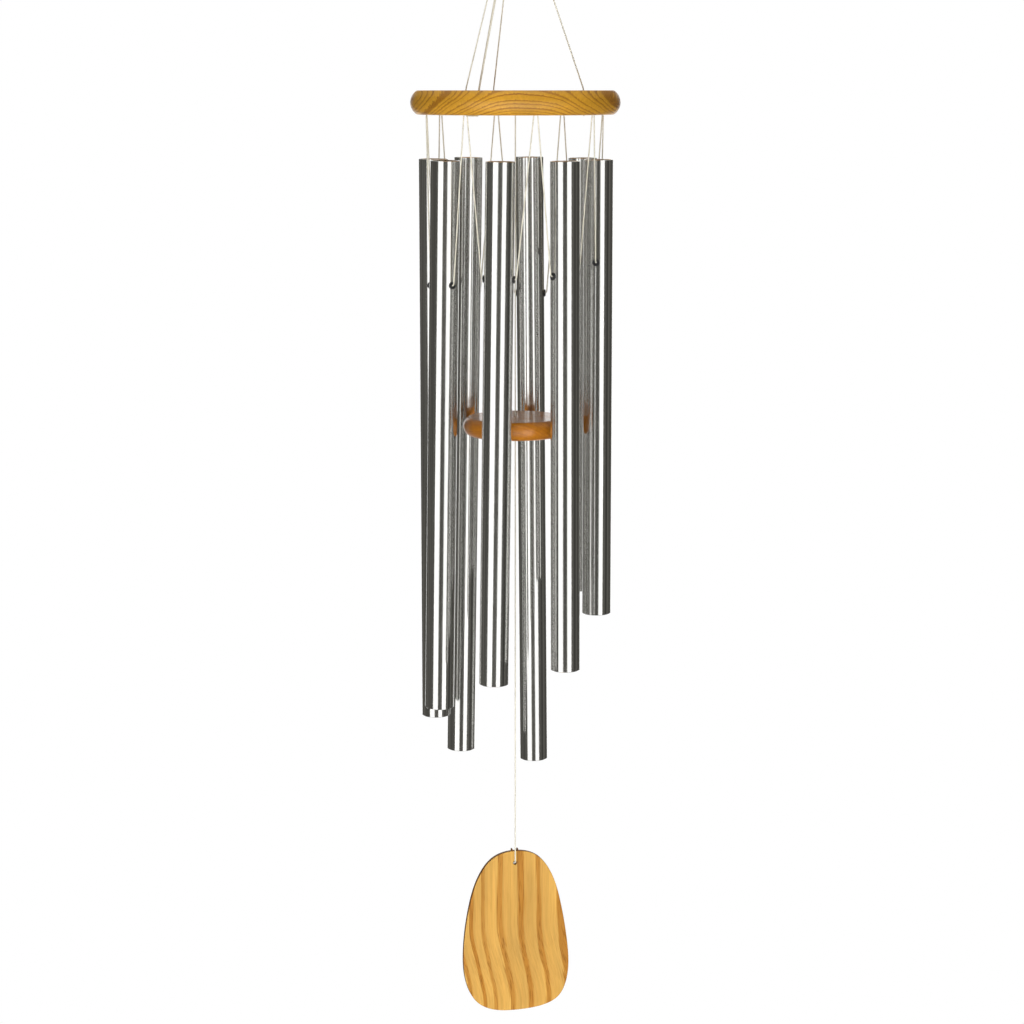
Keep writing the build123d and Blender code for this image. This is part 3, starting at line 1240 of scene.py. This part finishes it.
@dataclass(frozen=True)
class Tube:
    """One tube of the scale, with its cross holes, grommets and lace."""

    number: int
    metal: bpy.types.Material
    rubber: bpy.types.Material
    cord: bpy.types.Material
    disc: TopDisc
    hole: float = 2.4 * MM
    edge_break: float = 0.3 * MM
    patch: int = 8               # cells across the square round a cross hole
    columns: int = 96
    rings: int = 3
    grommet_proud: float = 1.0 * MM
    grommet_flange: float = 3.2 * MM
    grommet_bore: float = 1.0 * MM
    grommet_lip: float = 0.8 * MM
    grommet_lip_radius: float = 2.9 * MM
    grommet_soft: float = 0.45 * MM
    seat_gap: float = 0.02 * MM
    lace_standoff: float = 1.2 * MM
    lace_spread: float = 1.8 * MM
    lace_gap: float = 0.3 * MM
    lace_ease: float = 4.4 * MM  # from a corner of the lace to the point beside it
    pattern_step: float = 0.37   # how far apart the tubes' patterns are

    @property
    def still(self) -> np.ndarray:
        """The still point of the ringing tube, in the middle of its cross holes."""
        return hinge(f"tube_rock_{self.number}").place

    @property
    def along(self) -> np.ndarray:
        """The direction of the cross holes."""
        return hinge(f"tube_rock_{self.number}").axis

    @property
    def up(self) -> np.ndarray:
        """The tube's own upward direction."""
        return unit(UP - (UP @ self.along) * self.along)

    @property
    def radii(self) -> tuple[float, float]:
        """The tube's outer and inner radius, read away from the cross holes.

        Returns:
            The two radii.
        """
        off = node_points(f"tube_{self.number}") - self.still
        across = off - (off @ self.up)[:, None] * self.up
        reach = np.linalg.norm(across, axis=1)
        return float(reach.max()), float(reach[reach > self.hole * 2].min())

    def place(self, around: np.ndarray, radius: np.ndarray, height: np.ndarray) -> np.ndarray:
        """Place points that are given on cylinders about the tube's axis.

        Args:
            around: angles from the cross holes.
            radius: distances from the axis.
            height: heights from the still point, along the tube.

        Returns:
            The points.
        """
        third = np.cross(self.up, self.along)
        return (
            self.still
            + self.along * (radius * np.cos(around))[..., None]
            + third * (radius * np.sin(around))[..., None]
            + self.up * height[..., None]
        )

    def local(self, around: np.ndarray, radius: np.ndarray, height: np.ndarray) -> np.ndarray:
        """Give the same points a pattern place: the tube upright, and apart from the other tubes.

        Args:
            around: angles from the cross holes.
            radius: distances from the axis.
            height: heights from the still point, along the tube.

        Returns:
            The pattern places.
        """
        shift = self.number * self.pattern_step
        return np.stack(
            [radius * np.cos(around) + shift, radius * np.sin(around), height + 0 * around], axis=-1
        )

    def add_wall(
        self, shell: Shell, around: np.ndarray, radius: np.ndarray | float, height: np.ndarray, **more: object
    ) -> None:
        """Add a grid that is given in the tube's own terms.

        Args:
            shell: where it goes.
            around: angles from the cross holes.
            radius: distances from the axis, or one for all.
            height: heights from the still point, along the tube.
            more: what else the shell is to know about the grid.
        """
        around, radius, height = np.broadcast_arrays(around, radius, height)
        local = self.local(around, radius, height)
        shell.add_grid(self.place(around, radius, height), local=local, **more)

    def pipe(self) -> bpy.types.Object:
        """Both walls and ends as one closed sheet, with a ring of cells round each cross hole.

        A ring's point is the hole's circle (a sin t, a cos t), across and up, moved by a share s
        towards the square patch's edge, and wrapped onto the wall.

        Returns:
            The tube.
        """
        outer, inner = self.radii
        base, top = node_span(f"tube_{self.number}", self.up)
        middle = self.still @ self.up
        low, high = base - middle, top - middle
        cell = 2 * math.pi / self.columns
        half = self.patch // 2
        square = np.linspace(-half, half, self.patch + 1) * cell * outer
        edge = self.edge_break
        spread = np.linspace(square[-1], high - edge, 6)[1:]
        fall = np.linspace(square[0], low + edge, 14)[1:]
        heights = np.concatenate([spread[::-1], square[::-1], fall])
        rows = np.concatenate([heights, [low, low], heights[::-1], [high, high]])
        count = len(heights)
        ends = [outer - edge, inner + edge]
        radius = np.concatenate([np.full(count, outer), ends, np.full(count, inner), ends[::-1]])
        angle = np.arange(self.columns) * cell
        keep = np.ones((len(rows), self.columns), bool)
        first = len(spread)
        for start in (first, count + 2 + len(fall)):
            for side in (0, self.columns // 2):
                cells = (np.arange(-half, half) + side) % self.columns
                keep[np.ix_(np.arange(start, start + self.patch), cells)] = False
        shell = Shell()
        self.add_wall(
            shell, angle[None, :], radius[:, None], rows[:, None],
            wrap_rows=True, wrap_columns=True, keep=keep,
        )
        steps = np.arange(-half, half)
        ones = np.full(self.patch, half)
        across = np.concatenate([steps, ones, -steps, -ones]) * cell
        upward = np.concatenate([ones, -steps, -ones, steps]) * cell * outer
        turn = np.arctan2(across * outer, upward)
        share = np.linspace(0, 1, self.rings + 1)[:, None] ** 1.3
        for side in (0.0, math.pi):
            mirror = 1.0 if side == 0.0 else -1.0
            for wall in (outer, inner):
                circle = np.arcsin(np.clip(self.hole * np.sin(turn) / wall, -1, 1))
                around = side + mirror * ((1 - share) * circle + share * across)
                height = (1 - share) * self.hole * np.cos(turn) + share * upward
                self.add_wall(shell, around, wall, height, wrap_columns=True)
            bore = np.array([outer, inner])[:, None]
            circle = side + mirror * np.arcsin(np.clip(self.hole * np.sin(turn) / bore, -1, 1))
            self.add_wall(shell, circle, bore, self.hole * np.cos(turn)[None, :], wrap_columns=True)
        return shell.to_object(f"polished_tube_{self.number}", self.metal, sharp=30.0)

    def grommets(self) -> bpy.types.Object:
        """Two rubber bushes, each turned about the cross holes' axis.

        A point of the profile has a distance q from that axis and a reach along it. Where it
        rests on the tube, its reach is sqrt(R^2 - (q sin t)^2), the wall's own.

        Returns:
            Both bushes as one piece.
        """
        outer, inner = self.radii
        face = outer + self.grommet_proud
        gap, soft = self.seat_gap, self.grommet_soft
        flange, bore, hole = self.grommet_flange, self.grommet_bore, self.hole - gap
        curl = np.radians(np.linspace(0, 90, 6))
        dome_q = np.concatenate([
            [bore], bore + 0.25 * MM * np.sin(curl), flange - soft + soft * np.sin(curl),
        ])
        dome_reach = np.concatenate([
            [face - 0.6 * MM], face - 0.25 * MM * (1 - np.sin(curl)) ** 2, face - soft + soft * np.cos(curl),
        ])
        t = np.linspace(0, 2 * math.pi, 48, endpoint=False)[None, :]

        def seat(radius: float, q: float) -> np.ndarray:
            """The wall's reach at a distance from the hole's axis."""
            return np.sqrt(radius ** 2 - (q * np.sin(t)) ** 2)

        back = inner - self.grommet_lip
        lip = self.grommet_lip_radius
        under = [(flange, seat(outer, flange) - gap), (hole, seat(outer, hole) - gap)]
        under += [(hole, seat(inner, hole)), (lip, seat(inner, lip) - gap)]
        under += [(lip, np.full_like(t, back)), (bore, np.full_like(t, back))]
        q = np.concatenate([dome_q, [a for a, _ in under]])[:, None]
        dome = np.broadcast_to(dome_reach[:, None], (len(dome_q), t.size))
        reach = np.vstack([dome] + [b for _, b in under])
        third = np.cross(self.up, self.along)
        shell = Shell()
        for side in (1.0, -1.0):
            grid = (
                self.still
                + side * self.along * reach[..., None]
                + third * (q * np.sin(t))[..., None]
                + self.up * (q * np.cos(t))[..., None]
            )
            shell.add_grid(grid, wrap_rows=True, wrap_columns=True)
        return shell.to_object(f"rubber_grommets_{self.number}", self.rubber)

    def lace(self) -> None:
        """The cord that carries the tube, from one lacing hole, through the tube, to the next."""
        outer = self.radii[0]
        angle = self.disc.front_tube_angle + (self.number - 1) * 360 / self.disc.tubes
        pitch = 180 / self.disc.tubes
        level = ring_tangent(angle)
        under = self.disc.span[0] - self.lace_gap
        corner = self.along * (outer + self.grommet_proud + self.lace_standoff)
        half = []
        for side in (1, -1):
            exit_point = ring_point(self.disc.lace_ring, angle + side * pitch, under)
            exit_point = exit_point - level * side * self.lace_spread
            turn = self.still + side * corner
            above = turn + unit(exit_point - turn) * self.lace_ease
            inside = turn - side * self.along * self.lace_ease
            half.append([exit_point, above, turn, inside])
        route = smooth_route(half[0] + half[1][::-1])
        number = self.number
        add_cord(f"twisted_lace_{number}", route, self.cord, f"lacing_{number}", f"lace_cord_{number}")

    def build(self) -> None:
        """Build the tube and what carries it."""
        number = self.number
        install(self.pipe(), f"chime_{number}", "tube_aluminium", f"tube_{number}")
        install(self.grommets(), f"chime_{number}", "grommet_rubber", f"grommets_{number}")
        self.lace()


def add_cord(name: str, route: np.ndarray, finish: bpy.types.Material, body: str, node: str) -> None:
    """Args:
        name: the new piece's name.
        route: the line that it follows.
        finish: its material.
        body: the CAD body that it moves with.
        node: the CAD node that it stands for.
    """
    shell = Shell()
    TWINE.add(shell, route)
    piece = install(shell.to_object(name, finish), body, "cord", node)
    walk = spaced(route, TWINE.step)
    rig.cord(
        piece, exit=tuple(route[0]), length=line_length(walk), diameter=2 * TWINE.radius, far_end="object",
        stiffness="limp", lay="taut", path=[tuple(p) for p in walk],
    )


@dataclass(frozen=True)
class Suspension:
    """Three cords, each down through the disc, under it and up again, and the sunk knots."""

    finish: bpy.types.Material
    disc: TopDisc
    leg_gather: float = 2.4 * MM
    leg_fan: float = 25.0
    bridge_gap: float = 0.75 * MM
    leg_gap: float = 0.6 * MM
    mouth_ease: float = 7.2 * MM
    bend_ease: float = 4.4 * MM

    def cord(self, number: int, angle: float) -> None:
        """Lay one suspension cord: its route has a point above each mouth and beside each corner.

        Args:
            number: which cord.
            angle: its angle round the disc.
        """
        low, high = self.disc.span
        start = hinge("platform_turn").place[2] - self.leg_gap
        half = []
        for side, hole in zip((-1, 1), self.disc.suspension_pair(angle, high)):
            leg = ring_point(self.leg_gather, angle + side * self.leg_fan, start)
            corner = np.array([hole[0], hole[1], low - self.bridge_gap])
            inward = ring_tangent(angle) * -side
            half.append([
                leg, hole + unit(leg - hole) * self.mouth_ease, hole, corner + UP * self.bend_ease, corner,
                corner + inward * self.bend_ease,
            ])
        route = smooth_route(half[0] + half[1][::-1])
        add_cord(f"suspension_{number}", route, self.finish, "platform", f"suspension_cord_{number}")

    def knots(self) -> bpy.types.Object:
        """The doubled knots in their recesses, each with the two cords that run down its hole.

        Returns:
            The eight knots as one piece.
        """
        low, high = self.disc.span
        floor = high - self.disc.recess_depth
        shell = Shell()
        height = TWINE.knot_height
        for number in range(self.disc.tubes):
            angle = self.disc.lace_angle(number)
            hole = ring_point(self.disc.lace_ring, angle, floor)
            TWINE.knot(shell, hole + UP * height / 2, UP, TWINE.knot_radius, height, Knot.DOUBLED)
            for side in (-1, 1):
                aside = ring_tangent(angle + side * 180 / self.disc.tubes) * side * Tube.lace_spread
                start = hole + UP * (height - TWINE.radius)
                end = ring_point(self.disc.lace_ring, angle, low - 0.5 * MM) + aside
                line = np.vstack([start, start + (end - start) * 0.3, end])
                TWINE.add(shell, line, ring_tangent(angle + 45))
        return shell.to_object("sunk_lace_knots", self.finish)

    def build(self) -> None:
        """Build the cords and the knots."""
        for number, angle in enumerate(self.disc.suspension_angles, 1):
            self.cord(number, angle)
        install(self.knots(), "platform", "cord", "lace_knots")


# ---- centre line ----

@dataclass(frozen=True)
class CentreLine:
    """The cord down the middle, the knots on it, and the striker's and the sail's lengths."""

    finish: bpy.types.Material
    disc: TopDisc
    reach: float = 0.5 * MM      # how far a knot's tail runs past it to meet the next cord

    def knot_piece(self, name: str, node: str, tail: float | None = None) -> bpy.types.Object:
        """A single knot that fills a node's box, on a stretch of cord.

        Args:
            name: the new piece's name.
            node: the CAD node that it stands for.
            tail: how low its cord runs, or None for just past the knot.

        Returns:
            The piece.
        """
        low, high = node_span(node, UP)
        height = TWINE.knot_height
        shell = Shell()
        TWINE.knot(shell, UP * (high - height / 2), UP, TWINE.knot_radius, height, Knot.SINGLE)
        end = (low if tail is None else tail) - self.reach
        ends = np.array([UP * (high - 0.2 * MM), UP * end])
        TWINE.add(shell, ends, FRONT)
        return shell.to_object(name, self.finish)

    def build(self) -> None:
        """Build the knots and the two lengths of cord."""
        install(self.knot_piece("sunk_centre_knot", "centre_knot"), "centre_turn", "cord", "centre_knot")
        install(self.knot_piece("striker_stop_knot", "striker_knot"), "sail_turn", "cord", "striker_knot")
        for name, node, body in (
            ("striker_line", "striker_cord", "striker"), ("sail_line_cord", "sail_cord", "sail_line"),
        ):
            low, high = node_span(node, UP)
            route = smooth_route([UP * high, UP * (high + low) / 2, UP * low])
            add_cord(name, route, self.finish, body, node)


# ---- sail ----

@dataclass(frozen=True)
class Sail:
    """The egg-shaped board that catches the wind, and the cord tied through it."""

    wood: bpy.types.Material
    cord: bpy.types.Material
    top: float = 11.3 * MM       # from the hole up to the edge
    hole: float = 1.7 * MM
    notch: float = 3.9 * MM
    horn: float = 1.3 * MM
    horn_rise: float = 2.0 * MM
    edge_soft: float = 0.55 * MM
    columns: int = 224
    rows: int = 14
    # the edge in millimetres, to the right of the hole and up from it; it is fuller low on the right
    edge: tuple[tuple[float, float], ...] = (
        (0, 11.3), (19.8, 6.2), (33, -9.5), (43.3, -41), (50, -82), (49.8, -113),
        (41.5, -131.5), (19, -140.2), (0, -141.2), (-15, -140.2), (-34, -132),
        (-45.2, -113), (-48.3, -82), (-43.3, -41), (-33, -9.5), (-19.8, 6.2),
    )

    @property
    def across(self) -> np.ndarray:
        """The board's level direction, to the viewer's right."""
        return hinge("sail_flap").axis

    @property
    def back(self) -> np.ndarray:
        """The direction away from the viewer, square to the board."""
        return np.cross(UP, self.across)

    def outline(self) -> np.ndarray:
        """The board's edge: a smooth closed cubic through its points.

        The cubic's slopes m at the points p, with a chord length h between neighbours, solve
        m0 / h0 + 2 m1 (1 / h0 + 1 / h1) + m2 / h1 = 3 ((p1 - p0) / h0^2 + (p2 - p1) / h1^2).

        Returns:
            Points across and up from the hole, equally spaced.
        """
        corners = np.array(self.edge) * MM
        after = np.roll(corners, -1, axis=0)
        h = np.linalg.norm(after - corners, axis=1)
        before = np.roll(h, 1)
        size = len(corners)
        index = np.arange(size)
        system = np.zeros((size, size))
        system[index, index - 1] = 1 / before
        system[index, index] = 2 / before + 2 / h
        system[index, (index + 1) % size] = 1 / h
        step = (after - corners) / h[:, None] ** 2
        slope = np.linalg.solve(system, 3 * (np.roll(step, 1, axis=0) + step))
        s = np.linspace(0, 1, 60, endpoint=False)[None, :, None]
        p0, p1, chord = corners[:, None], after[:, None], h[:, None, None]
        m0, m1 = slope[:, None] * chord, np.roll(slope, -1, axis=0)[:, None] * chord
        cubic = (
            p0 * (2 * s ** 3 - 3 * s ** 2 + 1) + m0 * (s ** 3 - 2 * s ** 2 + s)
            + p1 * (3 * s ** 2 - 2 * s ** 3) + m1 * (s ** 3 - s ** 2)
        ).reshape(-1, 2)
        closed = np.vstack([cubic, cubic[:1]])
        return spaced(closed, line_length(closed) / self.columns)[:-1]

    def board(self) -> bpy.types.Object:
        """The board: both faces, the rounded edge and the hole's wall as one closed sheet.

        A face's point is a share s of the way from the hole's circle to the edge. The edge's
        section is a quarter circle at each face.

        Returns:
            The board.
        """
        edge = self.outline()
        near, far = node_span("sail", self.back)
        middle, half = (near + far) / 2, (far - near) / 2
        ahead = np.roll(edge, -1, axis=0) - np.roll(edge, 1, axis=0)
        outward = np.column_stack([-ahead[:, 1], ahead[:, 0]]) / np.linalg.norm(ahead, axis=1)[:, None]
        if ((edge - edge.mean(axis=0)) * outward).sum() < 0:
            outward = -outward
        turn = np.arctan2(edge[:, 1], edge[:, 0])
        spoke = np.column_stack([np.cos(turn), np.sin(turn)])
        soft = self.edge_soft
        curl = np.radians(np.linspace(0, 90, 6))[:, None, None]
        share = (np.linspace(0, 1, self.rows) ** 0.9)[:, None, None]
        inner, rim = spoke * (self.hole + soft), edge - outward * soft
        face = inner * (1 - share) + rim * share
        lift = (half - soft) + soft * np.cos(curl)
        corner = rim + outward * soft * np.sin(curl)
        lip = inner - spoke * soft * np.sin(curl)
        flat = np.full((self.rows, 1, 1), half)
        front = np.concatenate([lip[::-1], face[1:-1], corner])
        depth = np.concatenate([lift[::-1], flat[1:-1], lift])
        # tone: painted shade on the board's sides and the hole's wall, fading out over the rounded corners
        tone = np.concatenate([np.sin(curl)[::-1] ** 2, flat[1:-1] * 0, np.sin(curl) ** 2])
        plan = np.concatenate([front, front[::-1]])
        deep = np.concatenate([-depth, depth[::-1]])
        tone = np.broadcast_to(np.concatenate([tone, tone[::-1]])[..., 0], plan.shape[:2])
        hole = UP * (node_span("sail", UP)[1] - self.horn_rise - self.top)
        grid = hole + plan[..., :1] * self.across + plan[..., 1:] * UP + (middle + deep) * self.back
        shell = Shell()
        shell.add_grid(grid, wrap_rows=True, wrap_columns=True, tone=tone)
        self.horns(shell, hole + middle * self.back, half)
        return shell.to_object("ash_sail", self.wood)

    def horns(self, shell: Shell, hole: np.ndarray, half: float) -> None:
        """The two small horns beside the cord, each a block with soft corners.

        Its point is sign(c) |c|^0.4 of the half sizes, where c runs over a ball.

        Args:
            shell: where they go.
            hole: the hole's centre in the middle of the board.
            half: half the board's thickness.
        """
        polar = np.linspace(0, math.pi, 17)[:, None]
        round_ = np.linspace(0, 2 * math.pi, 32, endpoint=False)[None, :]
        ball = [np.sin(polar) * np.cos(round_), np.sin(polar) * np.sin(round_), np.cos(polar) + 0 * round_]
        block = [np.sign(c) * np.abs(c) ** 0.4 for c in ball]
        root = 1.6 * MM
        sizes = (self.horn / 2, half, (self.horn_rise + root) / 2)
        for side in (-1, 1):
            centre = hole + self.across * side * (self.notch + self.horn) / 2
            centre = centre + UP * (self.top + (self.horn_rise - root) / 2)
            axes = (self.across, self.back, UP)
            grid = centre + sum((b * s)[..., None] * a for b, s, a in zip(block, sizes, axes))
            # tone 1 paints each horn wholly in the dark edge colour
            shell.add_grid(grid, wrap_columns=True, tone=1.0)

    def tie(self) -> bpy.types.Object:
        """The cord's end: down the board's face, in through the hole and knotted behind it.

        Returns:
            The cord's end with its knot.
        """
        top = hinge("sail_flap").place[2] + 0.6 * MM
        low = node_span("sail", UP)[1] - self.horn_rise - self.top
        far = node_span("sail_tie", self.back)[1]
        height = TWINE.knot_height
        route = [
            UP * top, UP * (low + 6 * MM), UP * (low + 2.6 * MM), UP * low,
            UP * low + self.back * 2.6 * MM, UP * low + self.back * (far - height / 2),
        ]
        shell = Shell()
        TWINE.add(shell, smooth_route(route), self.across)
        centre = UP * low + self.back * (far - height / 2)
        TWINE.knot(shell, centre, self.back, TWINE.knot_radius, height, Knot.SINGLE)
        return shell.to_object("sail_tie_cord", self.cord)

    def build(self) -> None:
        """Build the board and its tie."""
        install(self.board(), "sail", "sail_ash", "sail")
        install(self.tie(), "sail", "cord", "sail_tie")


# ---- studio ----

@dataclass(frozen=True)
class Softbox:
    """A tall light panel beside the chime, by its angle from the camera's side."""

    name: str
    start: float                 # the panel's edges, in degrees from the front towards the right
    end: float
    radiance: float
    distance: float = 1.7
    top: float = 0.12
    bottom: float = -2.3
    shows: bool = True           # polished surfaces reflect it

    def build(self) -> None:
        """Hang the panel, facing the chime's axis."""
        middle = math.radians((self.start + self.end) / 2)
        width = 2 * self.distance * math.tan(math.radians(abs(self.end - self.start) / 2))
        height = self.top - self.bottom
        light = bpy.data.lights.new(self.name, "AREA")
        light.shape, light.size, light.size_y = "RECTANGLE", width, height
        light.energy = self.radiance * math.pi * width * height
        panel = bpy.data.objects.new(self.name, light)
        panel.location = (
            self.distance * math.sin(middle), -self.distance * math.cos(middle), (self.top + self.bottom) / 2,
        )
        panel.rotation_euler = (math.radians(90), 0, middle)
        panel.visible_glossy = self.shows
        panel.visible_camera = False
        bpy.context.scene.collection.objects.link(panel)


@dataclass(frozen=True)
class Studio:
    """White surroundings for the eye, an uneven dim room for reflections, and the camera."""

    floor: float = -1.8
    fill: float = 0.06
    gloom: float = 0.045         # the darkest part of the room, in reflections
    room_contrast: float = 3.2   # how many times brighter its lightest part is
    room_colour: Colour = (1.0, 0.97, 0.88, 1.0)
    upper_glow: float = 0.6      # how bright the room is high up, in reflections
    ceiling: float = 1.6         # the overhead panel's height, size and radiance
    ceiling_size: float = 1.5
    ceiling_radiance: float = 4.0
    camera_distance: float = 2.097
    camera_aside: float = -2.9 * MM
    camera_rise: float = 0.6 * MM    # above the disc's top face
    camera_pitch: float = -9.98
    lens: float = 84.375
    softboxes: tuple[Softbox, ...] = (
        Softbox("key_left", -53, -16, 1.5),
        Softbox("key_right", 17, 48, 1.5),
        Softbox("rear_left", -179, -157, 1.4),
        Softbox("rear_right", 157, 179, 1.4),
        Softbox("front_wash", -12, 12, 6.0, shows=False),
        Softbox("back_wash", 168, 192, 5.0, shows=False),
    )

    def surroundings(self) -> None:
        """The world: white to the camera, a room of uneven walls to reflections, a soft fill to the rest.

        The walls' light follows smooth noise over the bearing, and grows towards the ceiling.
        """
        world = bpy.data.worlds.new("studio")
        world.use_nodes = True
        bpy.context.scene.world = world
        world.node_tree.nodes.clear()
        g = Graph(world.node_tree)
        path = g.add("ShaderNodeLightPath")
        way = g.add("ShaderNodeSeparateXYZ", {0: g.add("ShaderNodeTexCoord").outputs["Generated"]})
        bearing = g.math("ARCTAN2", way.outputs["X"], way.outputs["Y"])
        room = g.add("ShaderNodeTexNoise", {"W": bearing, "Scale": 3.2, "Detail": 2.0}, noise_dimensions="1D")
        seen = g.between(g.rise(room.outputs["Fac"], 0.3, 0.7), self.gloom, self.gloom * self.room_contrast)
        above = g.math("MULTIPLY", g.rise(way.outputs["Z"], 0.2, 0.75), self.upper_glow)
        dim = g.math("SUBTRACT", g.math("MAXIMUM", seen, above), self.fill)
        glossy = g.math("MULTIPLY", path.outputs["Is Glossy Ray"], dim)
        eye = g.math("MULTIPLY", path.outputs["Is Camera Ray"], 1.0 - self.fill)
        strength = g.math("ADD", g.math("ADD", glossy, eye), self.fill)
        hue = g.tint(path.outputs["Is Glossy Ray"], (1, 1, 1, 1), self.room_colour)
        back = g.add("ShaderNodeBackground", {"Color": hue, "Strength": strength})
        g.add("ShaderNodeOutputWorld", {"Surface": back.outputs[0]})

    def overhead(self) -> None:
        """A square panel over the chime that lights upward faces and doesn't show in the tubes."""
        light = bpy.data.lights.new("overhead", "AREA")
        light.size = self.ceiling_size
        light.energy = self.ceiling_radiance * math.pi * self.ceiling_size ** 2
        panel = bpy.data.objects.new("overhead", light)
        panel.location = (0, 0, self.ceiling)
        panel.visible_glossy = panel.visible_camera = False
        bpy.context.scene.collection.objects.link(panel)

    def ground(self) -> None:
        """A wide white floor that reads as the same white as what is behind it."""
        g, bsdf = shader("studio floor")
        bsdf.inputs["Base Color"].default_value = (0.85, 0.85, 0.84, 1)
        bsdf.inputs["Roughness"].default_value = 0.9
        path = g.add("ShaderNodeLightPath")
        white = g.add("ShaderNodeEmission", {"Color": (1, 1, 1, 1), "Strength": 1.0})
        mix = g.add("ShaderNodeMixShader", {0: path.outputs["Is Camera Ray"], 1: bsdf.outputs[0]})
        g.tree.links.new(white.outputs[0], mix.inputs[2])
        output = next(n for n in g.tree.nodes if n.type == "OUTPUT_MATERIAL")
        g.tree.links.new(mix.outputs[0], output.inputs["Surface"])
        side = np.linspace(-6, 6, 9)
        x, y = np.meshgrid(side, side, indexing="ij")
        shell = Shell()
        shell.add_grid(np.stack([x, y, np.full_like(x, self.floor)], axis=-1))
        floor = shell.to_object("studio_floor", material_of(g))
        floor.visible_glossy = False
        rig.stage(floor)

    def camera(self) -> None:
        """The camera, level with the disc's top face and tipped down."""
        data = bpy.data.cameras.new("camera")
        data.lens, data.sensor_width = self.lens, 36.0
        camera = bpy.data.objects.new("camera", data)
        height = node_span("top_disc", UP)[1] + self.camera_rise
        camera.location = (self.camera_aside, -self.camera_distance, height)
        camera.rotation_euler = (math.radians(90 + self.camera_pitch), 0, 0)
        bpy.context.scene.collection.objects.link(camera)
        bpy.context.scene.camera = camera

    def build(self) -> None:
        """Set up the room, the lights and the camera."""
        bpy.context.scene.view_settings.view_transform = "Standard"
        self.camera()
        self.surroundings()
        self.ground()
        self.overhead()
        for softbox in self.softboxes:
            softbox.build()


def disc_finish() -> LacqueredAsh:
    """Honey-brown ash whose pith runs from the front, under the disc, up towards the back.

    Returns:
        The finish.
    """
    under = node_span("top_disc", UP)[0]
    front = node_span("top_disc", FRONT)[1]
    return LacqueredAsh(
        "honey ash", srgb(208, 152, 42), srgb(132, 76, 14), srgb(104, 58, 12),
        pith=(5 * MM, -front, under - 65 * MM), tilt=(-63.4, 0, 0), ring_width=2.9 * MM, waver=4 * MM,
        band_start=0.66, band_strength=0.7, roughness=0.38, specular=0.35, coat=0.2, coat_roughness=0.3,
    )


def striker_finish() -> LacqueredAsh:
    """Darker ash with its rings nearly level.

    Returns:
        The finish.
    """
    under = node_span("striker", UP)[0]
    return LacqueredAsh(
        "brown ash", srgb(184, 114, 16), srgb(160, 88, 14), srgb(124, 66, 12),
        pith=(-20 * MM, 0, under - 40 * MM), tilt=(-84, 0, 12), ring_width=3.2 * MM, waver=3 * MM,
        band_strength=0.4, pore_strength=0.3, roughness=0.3, coat=0.5, coat_roughness=0.16,
    )


def sail_finish() -> BoardAsh:
    """Light honey ash with broad upright bands.

    Returns:
        The finish.
    """
    near = node_span("sail", np.cross(UP, hinge("sail_flap").axis))[0]
    top = node_span("sail", UP)[1]
    return BoardAsh(
        "light ash", srgb(210, 162, 78), srgb(166, 104, 12), srgb(128, 76, 12),
        pith=(66 * MM, near + 100 * MM, top), tilt=(0, 0, 0), ring_width=10.6 * MM, waver=5 * MM,
        # edge_strength: how far painted shade darkens the board's sides, the hole's wall and the horns
        unevenness=0.9, band_start=0.66, band_strength=0.85, pore_strength=0.8, edge_strength=0.9,
        roughness=0.5, specular=0.22, coat=0.04, coat_roughness=0.35,
        bend_top=top - 70 * MM, bend_bottom=top - 150 * MM,
    )


def write_sizes() -> None:
    boxes = {"cad": [list(c) for c in CAD_BOX], "visual": [list(c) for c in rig.bounds()]}
    with open(SIZE_FILE, "w") as file:
        json.dump(boxes, file)


def main() -> None:
    """Build the studio and every piece, and report each one."""
    logging.basicConfig(level=logging.INFO, format="%(name)s: %(message)s")
    Studio().build()
    twine = IvoryTwine().material()
    rubber = MattRubber().material()
    aluminium = PolishedMetal("polished aluminium", (0.90, 0.895, 0.87, 1), 0.13, 0.02, 0.04).material()
    plating = PolishedMetal("bright plating", (0.78, 0.78, 0.79, 1), 0.07, 0.05, 0.08).material()
    disc = TopDisc(disc_finish().material())
    HangRing(plating).build()
    Hitch(twine).build()
    Suspension(twine, disc).build()
    disc.build()
    for number in range(1, disc.tubes + 1):
        Tube(number, aluminium, rubber, twine, disc).build()
    CentreLine(twine, disc).build()
    Striker(striker_finish().material()).build()
    Sail(sail_finish().material(), twine).build()
    write_sizes()


if __name__ == "__main__":
    main()
